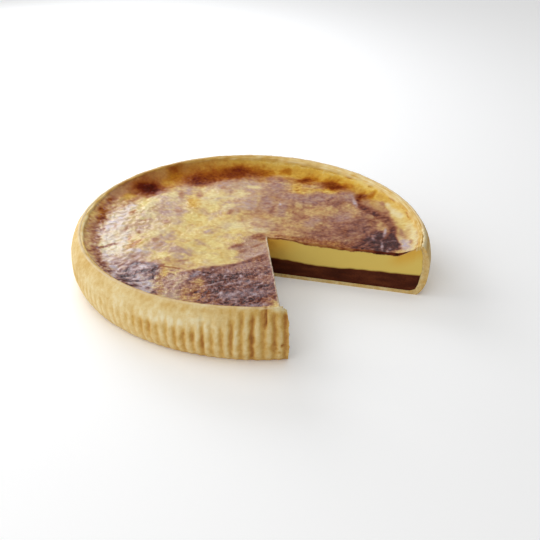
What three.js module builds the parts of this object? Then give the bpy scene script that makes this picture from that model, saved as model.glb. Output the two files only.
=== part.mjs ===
import * as THREE from 'three';

// A custard flan tart, 27 cm across, with one wedge cut out of it.
// A fluted shortcrust case holds a layer of chocolate custard and a thicker layer of vanilla custard.
// The tart lies flat, with the middle of its underside at the origin and +Z up.
// Lengths are millimetres. Angles are degrees, counted from +X towards +Y.

// The case swells from a narrow foot to its fullest below half its height, then curls in to a thin rim
const CASE_RADIUS = 135;
const RIM_HEIGHT = 39.5;
const FULLEST_SHARE = 0.5;
const FOOT_INSET = 6.5;
const FOOT_CURVE = 2.4;
const RIM_INSET = 5.8;
const RIM_CURVE = 3;
const BASE_THICKNESS = 2.8;
const CORNER_ROUND = 6;

// Heights on the side are shares of the rim's height, because the rim isn't level
const OUTSIDE_SHARES = [0, 0.07, 0.23, 0.4, 0.58, 0.74, 0.9, 0.98];
const INSIDE_WALL = [
  { share: 0.22, radius: 128 },
  { share: 0.5, radius: 130 },
  { share: 0.81, radius: 129.4 },
  { share: 0.97, radius: 127.4 },
];

// Hand-lined cases are a little out of round, and their rims dip and rise
const OVAL = { swell: 1.15, towards: 45 };
const LOBES = { swell: 0.67, towards: 64 };
const RIM_TILT = { rise: 1.3, towards: -27 };
const RIM_SADDLE = { rise: 1.5, towards: 102 };
const RIM_WAVES = [
  { rise: -1.2, at: 220, spread: 18 },
  { rise: 0.5, at: 268, spread: 12 },
  { rise: 1.2, at: 345, spread: 14 },
];

// The tin's flutes: broad ridges with narrow grooves between them, on the lower part of the side
const FLUTES_ROUND = 128;
const FLUTE_DEPTH = 1.6;
const FLUTE_FULL_SHARE = 0.5;
const FLUTE_END_SHARE = 0.74;
const FLUTE_FORM = [
  { place: 0, depth: 0 },
  { place: 0.44, depth: 0 },
  { place: 0.72, depth: 1 },
];
const FLUTE_UNEVENNESS = 0.3;

// Towards the near cut the flutes run nearly to the rim. The wall's end there stands proud of the filling,
// most at the foot, and its top corner has crumbled away.
const TALL_FLUTES = 9;
const TALL_FLUTE_END_SHARE = 0.98;
const WALL_END_COLUMNS = 12;
const WALL_END_FOOT_TURN = 2.4;
const WALL_END_RIM_TURN = 1.3;
const CRUMBLED_COLUMNS = 2;
const CRUMBLED_DEPTH = 2.8;

// The wedge was cut from this tip, which lies beside the tart's middle, with two straight cuts
const CUT_TIP = new THREE.Vector2(10, -7);
const FAR_CUT = -11.5;
const NEAR_CUT = 275.5;

// The custards: a thin vanilla edge climbs the wall to just under the rim
const LAYER_GAP = 0.3;
const CHOCOLATE_LEVEL = 14.3;
const CHOCOLATE_EDGE_RISE = 1.2;
const CUSTARD_LEVEL = 32.3;
const EDGE_BELOW_RIM = 1.2;
const EDGE_CLIMB_WIDTH = 20;
const EDGE_CLIMB_CURVE = 2.2;

// Both custards set with slow swells, each a wave across the tart
const CHOCOLATE_SWELLS = [
  { length: 74, towards: 30, height: 0.7, start: 40 },
  { length: 43, towards: 118, height: 0.5, start: 200 },
  { length: 27, towards: 72, height: 0.4, start: 310 },
];
const SKIN_SWELLS = [
  { length: 92, towards: 20, height: 0.45, start: 30 },
  { length: 58, towards: 105, height: 0.4, start: 120 },
  { length: 37, towards: 62, height: 0.3, start: 230 },
  { length: 29, towards: 150, height: 0.25, start: 70 },
];

// How finely the custards are faceted
const CUSTARD_COLUMNS = 78;
const SKIN_EDGE_RINGS = [0, 2.5, 6, 11, 17];
const SKIN_INNER_RINGS = 7;
const LAYER_RINGS = [0.2, 0.4, 0.6, 0.8, 0.92, 1];

const radians = THREE.MathUtils.degToRad;

function outOfRound(angle) {
  const oval = OVAL.swell * Math.cos(2 * (angle - radians(OVAL.towards)));
  const lobes = LOBES.swell * Math.cos(3 * (angle - radians(LOBES.towards)));
  return oval + lobes;
}

function rimHeight(angle) {
  const tilt = RIM_TILT.rise * Math.cos(angle - radians(RIM_TILT.towards));
  const saddle = RIM_SADDLE.rise * Math.cos(2 * (angle - radians(RIM_SADDLE.towards)));
  let height = RIM_HEIGHT + tilt + saddle;
  for (const wave of RIM_WAVES) {
    const away = THREE.MathUtils.euclideanModulo(THREE.MathUtils.radToDeg(angle) - wave.at + 180, 360) - 180;
    height += wave.rise * Math.exp(-((away / wave.spread) ** 2) / 2);
  }
  return height;
}

// A fixed number from -1 to 1 for each index, so that no two flutes are alike
function uneven(index) {
  const wave = Math.sin((index + 1) * 12.9898) * 43758.5453;
  return 2 * (wave - Math.floor(wave)) - 1;
}

function swellAt(swells, x, y) {
  let height = 0;
  for (const swell of swells) {
    const towards = radians(swell.towards);
    const along = x * Math.cos(towards) + y * Math.sin(towards);
    height += swell.height * Math.sin((2 * Math.PI * along) / swell.length + radians(swell.start));
  }
  return height;
}

// The point at a distance from the cut's tip, seen from above
function fromTip(direction, distance) {
  return new THREE.Vector2(Math.cos(direction), Math.sin(direction)).multiplyScalar(distance).add(CUT_TIP);
}

// How far a line from the cut's tip runs to a wall of this radius round the tart's middle
function reach(direction, radius) {
  const along = CUT_TIP.x * Math.cos(direction) + CUT_TIP.y * Math.sin(direction);
  const asideSquared = CUT_TIP.lengthSq() - along * along;
  let distance = Math.sqrt(radius * radius - asideSquared) - along;
  for (let pass = 0; pass < 4; pass += 1) {
    const trueRadius = radius + outOfRound(fromTip(direction, distance).angle());
    distance = Math.sqrt(trueRadius * trueRadius - asideSquared) - along;
  }
  return distance;
}

// A point of the case's side, its height given as a share of the rim's height there
function sidePoint(direction, radius, share) {
  const place = fromTip(direction, reach(direction, radius));
  return new THREE.Vector3(place.x, place.y, share * rimHeight(place.angle()));
}

// The direction from the cut's tip to the point of the case at this angle round the tart's middle
function directionTo(angle) {
  const radius = CASE_RADIUS + outOfRound(angle);
  const x = radius * Math.cos(angle) - CUT_TIP.x;
  const y = radius * Math.sin(angle) - CUT_TIP.y;
  const direction = Math.atan2(y, x);
  const justBeforeFarCut = radians(FAR_CUT - 0.001);
  return direction < justBeforeFarCut ? direction + 2 * Math.PI : direction;
}

// The angles round the tart's middle at which the two cuts leave the case
function cutAngles() {
  const far = radians(FAR_CUT);
  const near = radians(NEAR_CUT);
  const farPlace = fromTip(far, reach(far, CASE_RADIUS));
  const nearPlace = fromTip(near, reach(near, CASE_RADIUS));
  return { far: Math.atan2(farPlace.y, farPlace.x), near: nearPlace.angle() };
}

// The triangles of one cut face, from the outline of that cut and the outline's vertex numbers
function cutFace(outline, numbers, facesBack) {
  const flat = outline.map((point) => {
    const across = Math.hypot(point.x - CUT_TIP.x, point.y - CUT_TIP.y);
    return new THREE.Vector2(across, point.z);
  });
  const triangles = [];
  for (const corners of THREE.ShapeUtils.triangulateShape(flat, [])) {
    const runsForward = THREE.ShapeUtils.area(corners.map((corner) => flat[corner])) > 0;
    const [a, b, c] = corners.map((corner) => numbers[corner]);
    triangles.push(...(runsForward === facesBack ? [a, c, b] : [a, b, c]));
  }
  return triangles;
}

// A closed solid with the wedge left out, from one outline for each column, far cut to near cut.
// An outline runs out along the underside, up the side and back along the top, between two tip points.
// Each four-cornered facet is split along its shorter diagonal, so that two layers that meet split alike.
function wedgeCutSolid(outlines, undersideTip, topTip) {
  const rows = outlines[0].length;
  const lastColumn = outlines.length - 1;
  const points = [undersideTip, topTip, ...outlines.flat()];
  const number = (column, row) => 2 + column * rows + row;
  const triangles = [];
  for (let column = 0; column < lastColumn; column += 1) {
    triangles.push(0, number(column + 1, 0), number(column, 0));
    triangles.push(1, number(column, rows - 1), number(column + 1, rows - 1));
    for (let row = 0; row < rows - 1; row += 1) {
      const low = number(column, row);
      const lowNext = number(column + 1, row);
      const high = number(column, row + 1);
      const highNext = number(column + 1, row + 1);
      const rising = points[low].distanceToSquared(points[highNext]);
      const falling = points[lowNext].distanceToSquared(points[high]);
      if (rising < falling) {
        triangles.push(low, lowNext, highNext, low, highNext, high);
      } else {
        triangles.push(low, lowNext, high, lowNext, highNext, high);
      }
    }
  }
  for (const column of [0, lastColumn]) {
    const outline = [undersideTip, ...outlines[column], topTip];
    const numbers = [0, ...outlines[column].map((point, row) => number(column, row)), 1];
    triangles.push(...cutFace(outline, numbers, column === lastColumn));
  }
  const geometry = new THREE.BufferGeometry();
  geometry.setAttribute('position', new THREE.Float32BufferAttribute(points.flatMap((p) => p.toArray()), 3));
  geometry.setIndex(triangles);
  geometry.computeVertexNormals();
  return geometry;
}

function tipPoint(height) {
  return new THREE.Vector3(CUT_TIP.x, CUT_TIP.y, height);
}

// The pastry case

// How far the outside lies within the case's full radius at this share of the rim's height
function outsideInset(share) {
  if (share < FULLEST_SHARE) {
    return FOOT_INSET * (1 - share / FULLEST_SHARE) ** FOOT_CURVE;
  }
  return RIM_INSET * ((share - FULLEST_SHARE) / (1 - FULLEST_SHARE)) ** RIM_CURVE;
}

// The columns of the case's side, a few for each flute, closed by one at the near cut
function fluteColumns() {
  const { far, near } = cutAngles();
  const flutes = Math.round(((near - far) / (2 * Math.PI)) * FLUTES_ROUND);
  const pitch = (near - far) / flutes;
  const columns = [];
  for (let flute = 0; flute < flutes; flute += 1) {
    const endShare = flute < flutes - TALL_FLUTES ? FLUTE_END_SHARE : TALL_FLUTE_END_SHARE;
    for (const { place, depth } of FLUTE_FORM) {
      columns.push({
        direction: directionTo(far + (flute + place) * pitch),
        grooveDepth: depth * FLUTE_DEPTH * (1 + FLUTE_UNEVENNESS * uneven(flute)),
        endShare: endShare * (1 + 0.5 * FLUTE_UNEVENNESS * uneven(flute + FLUTES_ROUND)),
      });
    }
  }
  columns.push({ direction: radians(NEAR_CUT), grooveDepth: 0, endShare: FLUTE_END_SHARE });
  return columns;
}

// The groove of a column at this share of the rim's height, full below and fading out above
function grooveAt(column, share) {
  const fade = 1 - THREE.MathUtils.smoothstep(share, FLUTE_FULL_SHARE, column.endShare);
  return column.grooveDepth * fade;
}

// The rounded corner between the base and the wall's inside, from the wall down to the base
function cornerPoints(direction, round) {
  const foot = INSIDE_WALL[0];
  const wall = sidePoint(direction, foot.radius, foot.share);
  const middle = sidePoint(direction, foot.radius - CORNER_ROUND, foot.share);
  const inward = new THREE.Vector3().subVectors(middle, wall).normalize();
  const corner = [];
  for (const turn of [45, 90]) {
    const point = middle.clone().addScaledVector(inward, -round * Math.cos(radians(turn)));
    point.z = wall.z + (BASE_THICKNESS + CORNER_ROUND - round - wall.z) * Math.sin(radians(turn));
    corner.push(point);
  }
  return corner;
}

// One outline of the case. The wall turns out of line and loses height as the near cut comes close.
function caseOutline(column, columnsToCut) {
  const proud = Math.max(0, 1 - columnsToCut / WALL_END_COLUMNS);
  const crumbled = Math.max(0, 1 - columnsToCut / CRUMBLED_COLUMNS);
  const wallPoint = (radius, share) => {
    const turn = proud * THREE.MathUtils.lerp(WALL_END_FOOT_TURN, WALL_END_RIM_TURN, share);
    const point = sidePoint(column.direction + radians(turn), radius, share);
    point.z -= CRUMBLED_DEPTH * crumbled * share ** 4;
    return point;
  };
  const outline = OUTSIDE_SHARES.map((share) => {
    return wallPoint(CASE_RADIUS - outsideInset(share) - grooveAt(column, share), share);
  });
  outline.push(wallPoint(CASE_RADIUS - RIM_INSET, 1));
  for (const { share, radius } of INSIDE_WALL.toReversed()) {
    outline.push(wallPoint(radius, share));
  }
  outline.push(...cornerPoints(column.direction, CORNER_ROUND));
  return outline;
}

function pastryCase() {
  const columns = fluteColumns();
  const outlines = columns.map((column, index) => caseOutline(column, columns.length - 1 - index));
  return wedgeCutSolid(outlines, tipPoint(0), tipPoint(BASE_THICKNESS));
}

// The custards

function custardDirections() {
  const { far, near } = cutAngles();
  const directions = [];
  for (let column = 0; column < CUSTARD_COLUMNS; column += 1) {
    directions.push(directionTo(far + ((near - far) * column) / CUSTARD_COLUMNS));
  }
  directions.push(radians(NEAR_CUT));
  return directions;
}

// A point on the custard's side, just clear of the wall's inside
function besideWall(direction, share) {
  const upper = Math.max(1, INSIDE_WALL.findIndex((row) => row.share >= share));
  const [below, above] = [INSIDE_WALL[upper - 1], INSIDE_WALL[upper]];
  const along = (share - below.share) / (above.share - below.share);
  const radius = THREE.MathUtils.lerp(below.radius, above.radius, along);
  return sidePoint(direction, radius - LAYER_GAP, share);
}

function chocolateHeight(x, y) {
  const edgeNearness = Math.hypot(x, y) / CASE_RADIUS;
  const rise = CHOCOLATE_EDGE_RISE * edgeNearness ** 3;
  return CHOCOLATE_LEVEL + rise + swellAt(CHOCOLATE_SWELLS, x, y);
}

// The face where the two custards meet, from near the tip out to the wall, raised by a gap or not
function layerFace(direction, raise) {
  const edge = besideWall(direction, CHOCOLATE_LEVEL / RIM_HEIGHT);
  return LAYER_RINGS.map((ring) => {
    const x = THREE.MathUtils.lerp(CUT_TIP.x, edge.x, ring);
    const y = THREE.MathUtils.lerp(CUT_TIP.y, edge.y, ring);
    return new THREE.Vector3(x, y, chocolateHeight(x, y) + raise);
  });
}

function chocolateCustard() {
  const outlines = custardDirections().map((direction) => {
    const corner = cornerPoints(direction, CORNER_ROUND - LAYER_GAP).toReversed();
    const side = besideWall(direction, INSIDE_WALL[0].share);
    return [...corner, side, ...layerFace(direction, 0).toReversed()];
  });
  const top = chocolateHeight(CUT_TIP.x, CUT_TIP.y);
  return wedgeCutSolid(outlines, tipPoint(BASE_THICKNESS + LAYER_GAP), tipPoint(top));
}

// The skin is level but for its swells, and climbs near the wall to an edge just under the rim
function skinPoint(edge, distanceIn) {
  const edgeDistance = Math.hypot(edge.x - CUT_TIP.x, edge.y - CUT_TIP.y);
  const along = 1 - distanceIn / edgeDistance;
  const x = THREE.MathUtils.lerp(CUT_TIP.x, edge.x, along);
  const y = THREE.MathUtils.lerp(CUT_TIP.y, edge.y, along);
  const climb = Math.max(0, 1 - distanceIn / EDGE_CLIMB_WIDTH) ** EDGE_CLIMB_CURVE;
  const level = CUSTARD_LEVEL + swellAt(SKIN_SWELLS, x, y);
  return new THREE.Vector3(x, y, THREE.MathUtils.lerp(level, edge.z, climb));
}

function skinRow(direction) {
  const share = 1 - EDGE_BELOW_RIM / RIM_HEIGHT;
  const edge = besideWall(direction, share);
  const edgeDistance = Math.hypot(edge.x - CUT_TIP.x, edge.y - CUT_TIP.y);
  const row = SKIN_EDGE_RINGS.map((distanceIn) => skinPoint(edge, distanceIn));
  const climbed = SKIN_EDGE_RINGS.at(-1);
  for (let ring = 1; ring <= SKIN_INNER_RINGS; ring += 1) {
    const distanceIn = climbed + ((edgeDistance - climbed) * ring) / (SKIN_INNER_RINGS + 1);
    row.push(skinPoint(edge, distanceIn));
  }
  return row;
}

function vanillaCustard() {
  const outlines = custardDirections().map((direction) => [
    ...layerFace(direction, LAYER_GAP),
    besideWall(direction, INSIDE_WALL[1].share),
    besideWall(direction, INSIDE_WALL[2].share),
    ...skinRow(direction),
  ]);
  const bottom = chocolateHeight(CUT_TIP.x, CUT_TIP.y) + LAYER_GAP;
  const top = CUSTARD_LEVEL + swellAt(SKIN_SWELLS, CUT_TIP.x, CUT_TIP.y);
  return wedgeCutSolid(outlines, tipPoint(bottom), tipPoint(top));
}

// The finished tart

function piece(name, geometry, color, roughness) {
  const material = new THREE.MeshStandardMaterial({ color, roughness, metalness: 0 });
  const mesh = new THREE.Mesh(geometry, material);
  mesh.name = name;
  return mesh;
}

const tart = new THREE.Group();
tart.add(piece('pastry_crust', pastryCase(), '#d9b577', 0.8));
tart.add(piece('chocolate_custard', chocolateCustard(), '#5b3120', 0.5));
tart.add(piece('vanilla_custard', vanillaCustard(), '#e4cb83', 0.4));

export default tart;
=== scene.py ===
# A custard flan tart, 27 cm across, with one wedge cut out of it: a fluted shortcrust case, a layer of
# chocolate custard and a thicker layer of vanilla custard, whose skin browned in the oven.
# Sizes are millimetres and angles are degrees, counted from +X towards +Y, unless a comment says otherwise.

import math

import bpy
import numpy as np
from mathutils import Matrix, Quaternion, Vector
from mathutils.geometry import delaunay_2d_cdt
from mathutils.kdtree import KDTree


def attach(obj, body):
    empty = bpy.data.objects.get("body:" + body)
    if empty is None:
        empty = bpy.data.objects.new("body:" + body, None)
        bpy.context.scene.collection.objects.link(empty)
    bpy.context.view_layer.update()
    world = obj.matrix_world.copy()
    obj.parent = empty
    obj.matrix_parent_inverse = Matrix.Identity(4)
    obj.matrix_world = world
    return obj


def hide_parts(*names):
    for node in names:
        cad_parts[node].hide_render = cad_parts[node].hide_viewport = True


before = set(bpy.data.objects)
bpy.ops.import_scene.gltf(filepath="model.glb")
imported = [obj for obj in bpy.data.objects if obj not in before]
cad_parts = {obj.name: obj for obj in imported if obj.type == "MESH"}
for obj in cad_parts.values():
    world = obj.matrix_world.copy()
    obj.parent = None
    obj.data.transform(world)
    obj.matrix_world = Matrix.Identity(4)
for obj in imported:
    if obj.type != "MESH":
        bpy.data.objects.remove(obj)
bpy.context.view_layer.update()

MM = 0.001

# The camera
# A long lens stands nearly a metre away in front of the tart, looks down on it and leans a little.

LENS = 82.66
CAMERA_DISTANCE = 949.9
CAMERA_ELEVATION = 28.56
CAMERA_LEAN = 2.38
CAMERA_AIM = Vector((13.8, 1.1, 0))

camera_data = bpy.data.cameras.new("camera")
camera_data.lens = LENS
camera = bpy.data.objects.new("camera", camera_data)
bpy.context.scene.collection.objects.link(camera)
bpy.context.scene.camera = camera
elevation = math.radians(CAMERA_ELEVATION)
camera_place = CAMERA_DISTANCE * Vector((0, -math.cos(elevation), math.sin(elevation)))
level_view = (CAMERA_AIM - camera_place).to_track_quat("-Z", "Y")
camera.location = camera_place * MM
camera.rotation_mode = "QUATERNION"
camera.rotation_quaternion = level_view @ Quaternion((0, 0, 1), math.radians(CAMERA_LEAN))

# The studio
# A white table under a wide white ceiling light, in a room that is dim except towards the left.
# A soft box behind the tart on the left lays a cool sheen on the skin, a window lights the left side, and
# a weak box fills in from the front.

ROOM_LIGHT = 0.12
LEFT_LIGHT = 0.5
CEILING_LIGHT = 1.15
CEILING_POWER = 4
SHEEN_BOX = {"place": (-320, 520, 320), "aim": (-40, 0, 30), "size": (420, 300), "radiance": 6.5}
WINDOW = {"place": (-760, 150, 520), "aim": (0, 0, 20), "size": (520, 520), "radiance": 2}
FILL_BOX = {"place": (-500, -900, 420), "aim": (0, 0, 20), "size": (700, 500), "radiance": 2.2}
SHEEN_COLOR = (0.93, 0.95, 1)
TABLE_WIDTH = 8000
TABLE_GAP = 0.02
TABLE_COLOR = (0.95, 0.95, 0.945)
TABLE_GLOW = 0.1


def connect(tree, made, inputs):
    """Sets the inputs of a shader node. Each is a plain value or another node's output."""
    for place, value in inputs.items():
        if isinstance(value, bpy.types.NodeSocket):
            tree.links.new(value, made.inputs[place])
        else:
            made.inputs[place].default_value = value


def node(tree, kind, inputs=None, **settings):
    """A new shader node, with its inputs set as connect does."""
    made = tree.nodes.new(kind)
    for name, value in settings.items():
        setattr(made, name, value)
    connect(tree, made, inputs or {})
    return made


def math_node(tree, operation, *values):
    """The output of one sum or other operation on numbers or other nodes' outputs."""
    return node(tree, "ShaderNodeMath", dict(enumerate(values)), operation=operation).outputs[0]


def new_finish(name):
    """A new material, with its node tree and its shader."""
    material = bpy.data.materials.new(name)
    material.use_nodes = True
    return material, material.node_tree, material.node_tree.nodes["Principled BSDF"]


def soft_box(name, place, aim, size, radiance, color):
    """A rectangle of even light that faces the tart."""
    data = bpy.data.lights.new(name, "AREA")
    data.shape = "RECTANGLE"
    data.size, data.size_y = (side * MM for side in size)
    data.energy = radiance * math.pi * data.size * data.size_y
    data.color = color
    box = bpy.data.objects.new(name, data)
    bpy.context.scene.collection.objects.link(box)
    box.location = Vector(place) * MM
    box.rotation_euler = (Vector(aim) - Vector(place)).to_track_quat("-Z", "Y").to_euler()


studio = bpy.data.worlds.new("studio")
studio.use_nodes = True
bpy.context.scene.world = studio
studio_tree = studio.node_tree
studio_tree.nodes.clear()
towards = node(studio_tree, "ShaderNodeTexCoord").outputs["Generated"]
parts = node(studio_tree, "ShaderNodeSeparateXYZ", {0: towards}).outputs
overhead = math_node(studio_tree, "POWER", math_node(studio_tree, "MAXIMUM", parts["Z"], 0), CEILING_POWER)
leftward = math_node(studio_tree, "POWER", math_node(studio_tree, "MINIMUM", parts["X"], 0), 2)
strength = math_node(studio_tree, "MULTIPLY_ADD", leftward, LEFT_LIGHT, ROOM_LIGHT)
strength = math_node(studio_tree, "MULTIPLY_ADD", overhead, CEILING_LIGHT, strength)
walls = node(studio_tree, "ShaderNodeBackground", {"Color": (1, 1, 1, 1), "Strength": strength})
studio_out = node(studio_tree, "ShaderNodeOutputWorld")
studio_tree.links.new(walls.outputs[0], studio_out.inputs["Surface"])
soft_box("sheen_box", color=SHEEN_COLOR, **SHEEN_BOX)
soft_box("window", color=(1, 1, 1), **WINDOW)
soft_box("fill_box", color=(1, 1, 1), **FILL_BOX)

bpy.context.scene.view_settings.view_transform = "Standard"

bpy.ops.mesh.primitive_plane_add(size=TABLE_WIDTH * MM, location=(0, 0, -TABLE_GAP * MM))
table = bpy.context.object
table.name = "table"
white, tree, shader = new_finish("white_table")
connect(tree, shader, {
    "Base Color": (*TABLE_COLOR, 1),
    "Roughness": 0.6,
    "Specular IOR Level": 0.2,
    "Emission Color": (1, 1, 1, 1),
    "Emission Strength": TABLE_GLOW,
})
table.data.materials.append(white)

# The pastry case
# Shortcrust pastry, lined by hand into a fluted tin and baked until it is sandy and golden.
# The tin's flutes show as broad ridges on the lower part of the side, and its thin rim is a little wavy.

CASE_RADIUS = 135
RIM_HEIGHT = 39.5
FULLEST_SHARE = 0.5
FOOT_INSET = 6.5
FOOT_CURVE = 2.4
FOOT_ROUNDING = {"inset": 0.9, "height": 0.7}
RIM_INSET = 5.8
RIM_CURVE = 3
BASE_THICKNESS = 2.8
CORNER_ROUND = 6
INSIDE_SHARES = (0.22, 0.5, 0.81, 0.97)
INSIDE_RADII = (128, 130, 129.4, 127.4)
CREST_RADIUS = 128.75
CREST_HALF_WIDTH = 1.35
CREST_DROP = 1.2
CREST_TURNS = (15, 45, 75, 105, 135, 165)
OVAL = {"swell": 1.15, "towards": 45}
LOBES = {"swell": 0.67, "towards": 64}
RIM_TILT = {"rise": 1.3, "towards": -27}
RIM_SADDLE = {"rise": 1.5, "towards": 102}
RIM_WAVES = (
    {"rise": -1.2, "at": 220, "spread": 18},
    {"rise": 0.5, "at": 268, "spread": 12},
    {"rise": 1.2, "at": 345, "spread": 14},
)
FLUTES_ROUND = 128
FLUTE_COLUMNS = 8
FLUTE_FACETS = (0, 0.44, 0.72, 1)
FLUTE_DEPTH = 1.35
FLUTE_MIDDLE = 0.72
FLUTE_HALF_WIDTH = 0.44
FLUTE_SHALLOW_FOOT = 0.45
FLUTE_FULL_SHARE = 0.5
FLUTE_END_SHARE = 0.74
FLUTE_UNEVENNESS = 0.3
TALL_FLUTES = 9
TALL_FLUTE_FULL_SHARE = 0.86
TALL_FLUTE_END_SHARE = 1
WALL_END_COLUMNS = 12
WALL_END_FOOT_TURN = 2.4
WALL_END_RIM_TURN = 1.3
CRUMBLED_COLUMNS = 2
CRUMBLED_DEPTH = 2.8
CRACK = {"angle": 274.5, "half_width": 0.8, "depth": 0.7, "from_share": 0.6, "full_share": 0.85}
PITS = (
    {"angle": 279.3, "share": 0.36, "radius": 1.0},
    {"angle": 278.8, "share": 0.22, "radius": 0.8},
    {"angle": 277.9, "share": 0.3, "radius": 0.6},
)
PIT_DEPTH = 0.8
SMEAR_SIZE = (3.2, 3.2, 13)
SMEAR_RELIEF = 0.1
CUT_TIP = np.array((10.0, -7.0))
FAR_CUT = math.radians(-11.5)
NEAR_CUT = math.radians(275.5)


def smoothstep(value, start, end):
    """0 up to the start and 1 from the end on, with a smooth rise between them."""
    part = np.clip((value - start) / (end - start), 0, 1)
    return part * part * (3 - 2 * part)


def blend(low, high, part):
    """The low value where the part is 0 and the high one where it is 1."""
    return low + (high - low) * part


def between(value, rise, fall):
    """1 between two soft edges and 0 outside them. Each edge is given by where it starts and ends."""
    return smoothstep(value, *rise) * (1 - smoothstep(value, *fall))


def hump(value, middle, width):
    """A soft hump, 1 at its middle."""
    return np.exp(-(((value - middle) / width) ** 2))


def out_of_round(angle):
    oval = OVAL["swell"] * np.cos(2 * (angle - math.radians(OVAL["towards"])))
    lobes = LOBES["swell"] * np.cos(3 * (angle - math.radians(LOBES["towards"])))
    return oval + lobes


def rim_height(angle):
    tilt = RIM_TILT["rise"] * np.cos(angle - math.radians(RIM_TILT["towards"]))
    saddle = RIM_SADDLE["rise"] * np.cos(2 * (angle - math.radians(RIM_SADDLE["towards"])))
    total = RIM_HEIGHT + tilt + saddle
    for wave in RIM_WAVES:
        away = (np.degrees(angle) - wave["at"] + 180) % 360 - 180
        total = total + wave["rise"] * np.exp(-((away / wave["spread"]) ** 2) / 2)
    return total


def uneven(index):
    """A fixed number from -1 to 1 for each index, so that no two flutes are alike."""
    wave = np.sin((index + 1) * 12.9898) * 43758.5453
    return 2 * (wave - np.floor(wave)) - 1


def heading(direction):
    return np.stack([np.cos(direction), np.sin(direction)], -1)


def reach(direction, radius):
    """How far a line from the cut's tip runs to a wall of this radius round the tart's middle."""
    along = heading(direction) @ CUT_TIP
    aside_squared = CUT_TIP @ CUT_TIP - along * along
    distance = np.sqrt(radius * radius - aside_squared) - along
    for _ in range(4):
        place = CUT_TIP + distance[..., None] * heading(direction)
        true_radius = radius + out_of_round(np.arctan2(place[..., 1], place[..., 0]))
        distance = np.sqrt(true_radius * true_radius - aside_squared) - along
    return distance


def side_point(direction, radius, share):
    """Points of the case's side, their heights given as a share of the rim's height there."""
    place = CUT_TIP + reach(direction, radius)[..., None] * heading(direction)
    z = share * rim_height(np.arctan2(place[..., 1], place[..., 0]))
    return np.concatenate([place, np.broadcast_to(z, direction.shape)[..., None]], -1)


def direction_to(angle):
    """The direction from the cut's tip to the case at this angle round the tart's middle."""
    place = (CASE_RADIUS + out_of_round(angle))[..., None] * heading(angle) - CUT_TIP
    direction = np.arctan2(place[..., 1], place[..., 0])
    return np.where(direction < FAR_CUT - 1e-5, direction + 2 * math.pi, direction)


def cut_angles():
    """The angles round the tart's middle at which the two cuts leave the case."""
    cuts = np.array((FAR_CUT, NEAR_CUT))
    place = CUT_TIP + reach(cuts, CASE_RADIUS)[:, None] * heading(cuts)
    far, near = np.arctan2(place[:, 1], place[:, 0])
    return far, near % (2 * math.pi)


NOISE_WAYS = np.random.default_rng(5).normal(size=(256, 3))
NOISE_WAYS /= np.linalg.norm(NOISE_WAYS, axis=1)[:, None]


def bumps(points, size, seed):
    """Soft random humps and hollows of about this size, from -1 to 1, at flat or solid points."""
    cell = np.asarray(points, float) / size
    if cell.shape[1] == 2:
        cell = np.column_stack([cell, np.zeros(len(cell))])
    corner = np.floor(cell).astype(np.int64)
    part = cell - corner
    ease = part**3 * (part * (part * 6 - 15) + 10)
    total = np.zeros(len(cell))
    for step in np.ndindex(2, 2, 2):
        x, y, z = (corner + step).T
        mixed = (x * 73856093) ^ (y * 19349663) ^ (z * 83492791) ^ (seed * 2654435761)
        mixed = (mixed ^ (mixed >> 13)) * 1274126177
        way = NOISE_WAYS[(mixed ^ (mixed >> 16)) & 255]
        weight = np.prod(np.where(step, ease, 1 - ease), axis=1)
        total += weight * np.sum(way * (part - step), axis=1)
    return total * 1.5


def layered(points, layers):
    """Bumps of several sizes laid over each other. Each layer is its strength, size and seed."""
    return sum(strength * bumps(points, size, seed) for strength, size, seed in layers)


def scattered(outline, spacing, rng, fixed):
    """Loose points inside a flat outline, in uneven rows, a little clear of its edge and of fixed points."""
    low, high = outline.min(0), outline.max(0)
    columns = np.arange(low[0], high[0], spacing)
    rows = np.arange(low[1], high[1], spacing * math.sqrt(0.75))
    x, y = np.meshgrid(columns, rows)
    x[1::2] += spacing / 2
    loose = np.stack([x.ravel(), y.ravel()], -1)
    loose += rng.uniform(-0.22, 0.22, loose.shape) * spacing
    within = np.zeros(len(loose), bool)
    x, y = loose.T
    for (x0, y0), (x1, y1) in zip(outline, np.roll(outline, -1, axis=0)):
        if y0 != y1:
            crosses = (y0 > y) != (y1 > y)
            within ^= crosses & (x < x0 + (x1 - x0) * (y - y0) / (y1 - y0))
    loose = loose[within]
    taken = np.vstack([outline, fixed])
    tree = KDTree(len(taken))
    for number, place in enumerate(taken):
        tree.insert((*place, 0), number)
    tree.balance()
    clear = np.array([tree.find((*place, 0))[2] for place in loose.tolist()])
    return np.vstack([loose[clear > spacing * 0.55], fixed])


def fill(outline, loose):
    """Triangles that fill a flat outline by way of its own points and loose points inside it."""
    flat = [Vector(place) for place in np.vstack([outline, loose])]
    count = len(outline)
    edges = [(number, (number + 1) % count) for number in range(count)]
    _, _, faces, origins, _, _ = delaunay_2d_cdt(flat, edges, [], 1, 1e-7)
    return [tuple(origins[corner][0] for corner in face) for face in faces]


NO_POINTS = np.zeros((0, 2))
CUT_SHEETS = ("far_cut", "near_cut")


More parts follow.
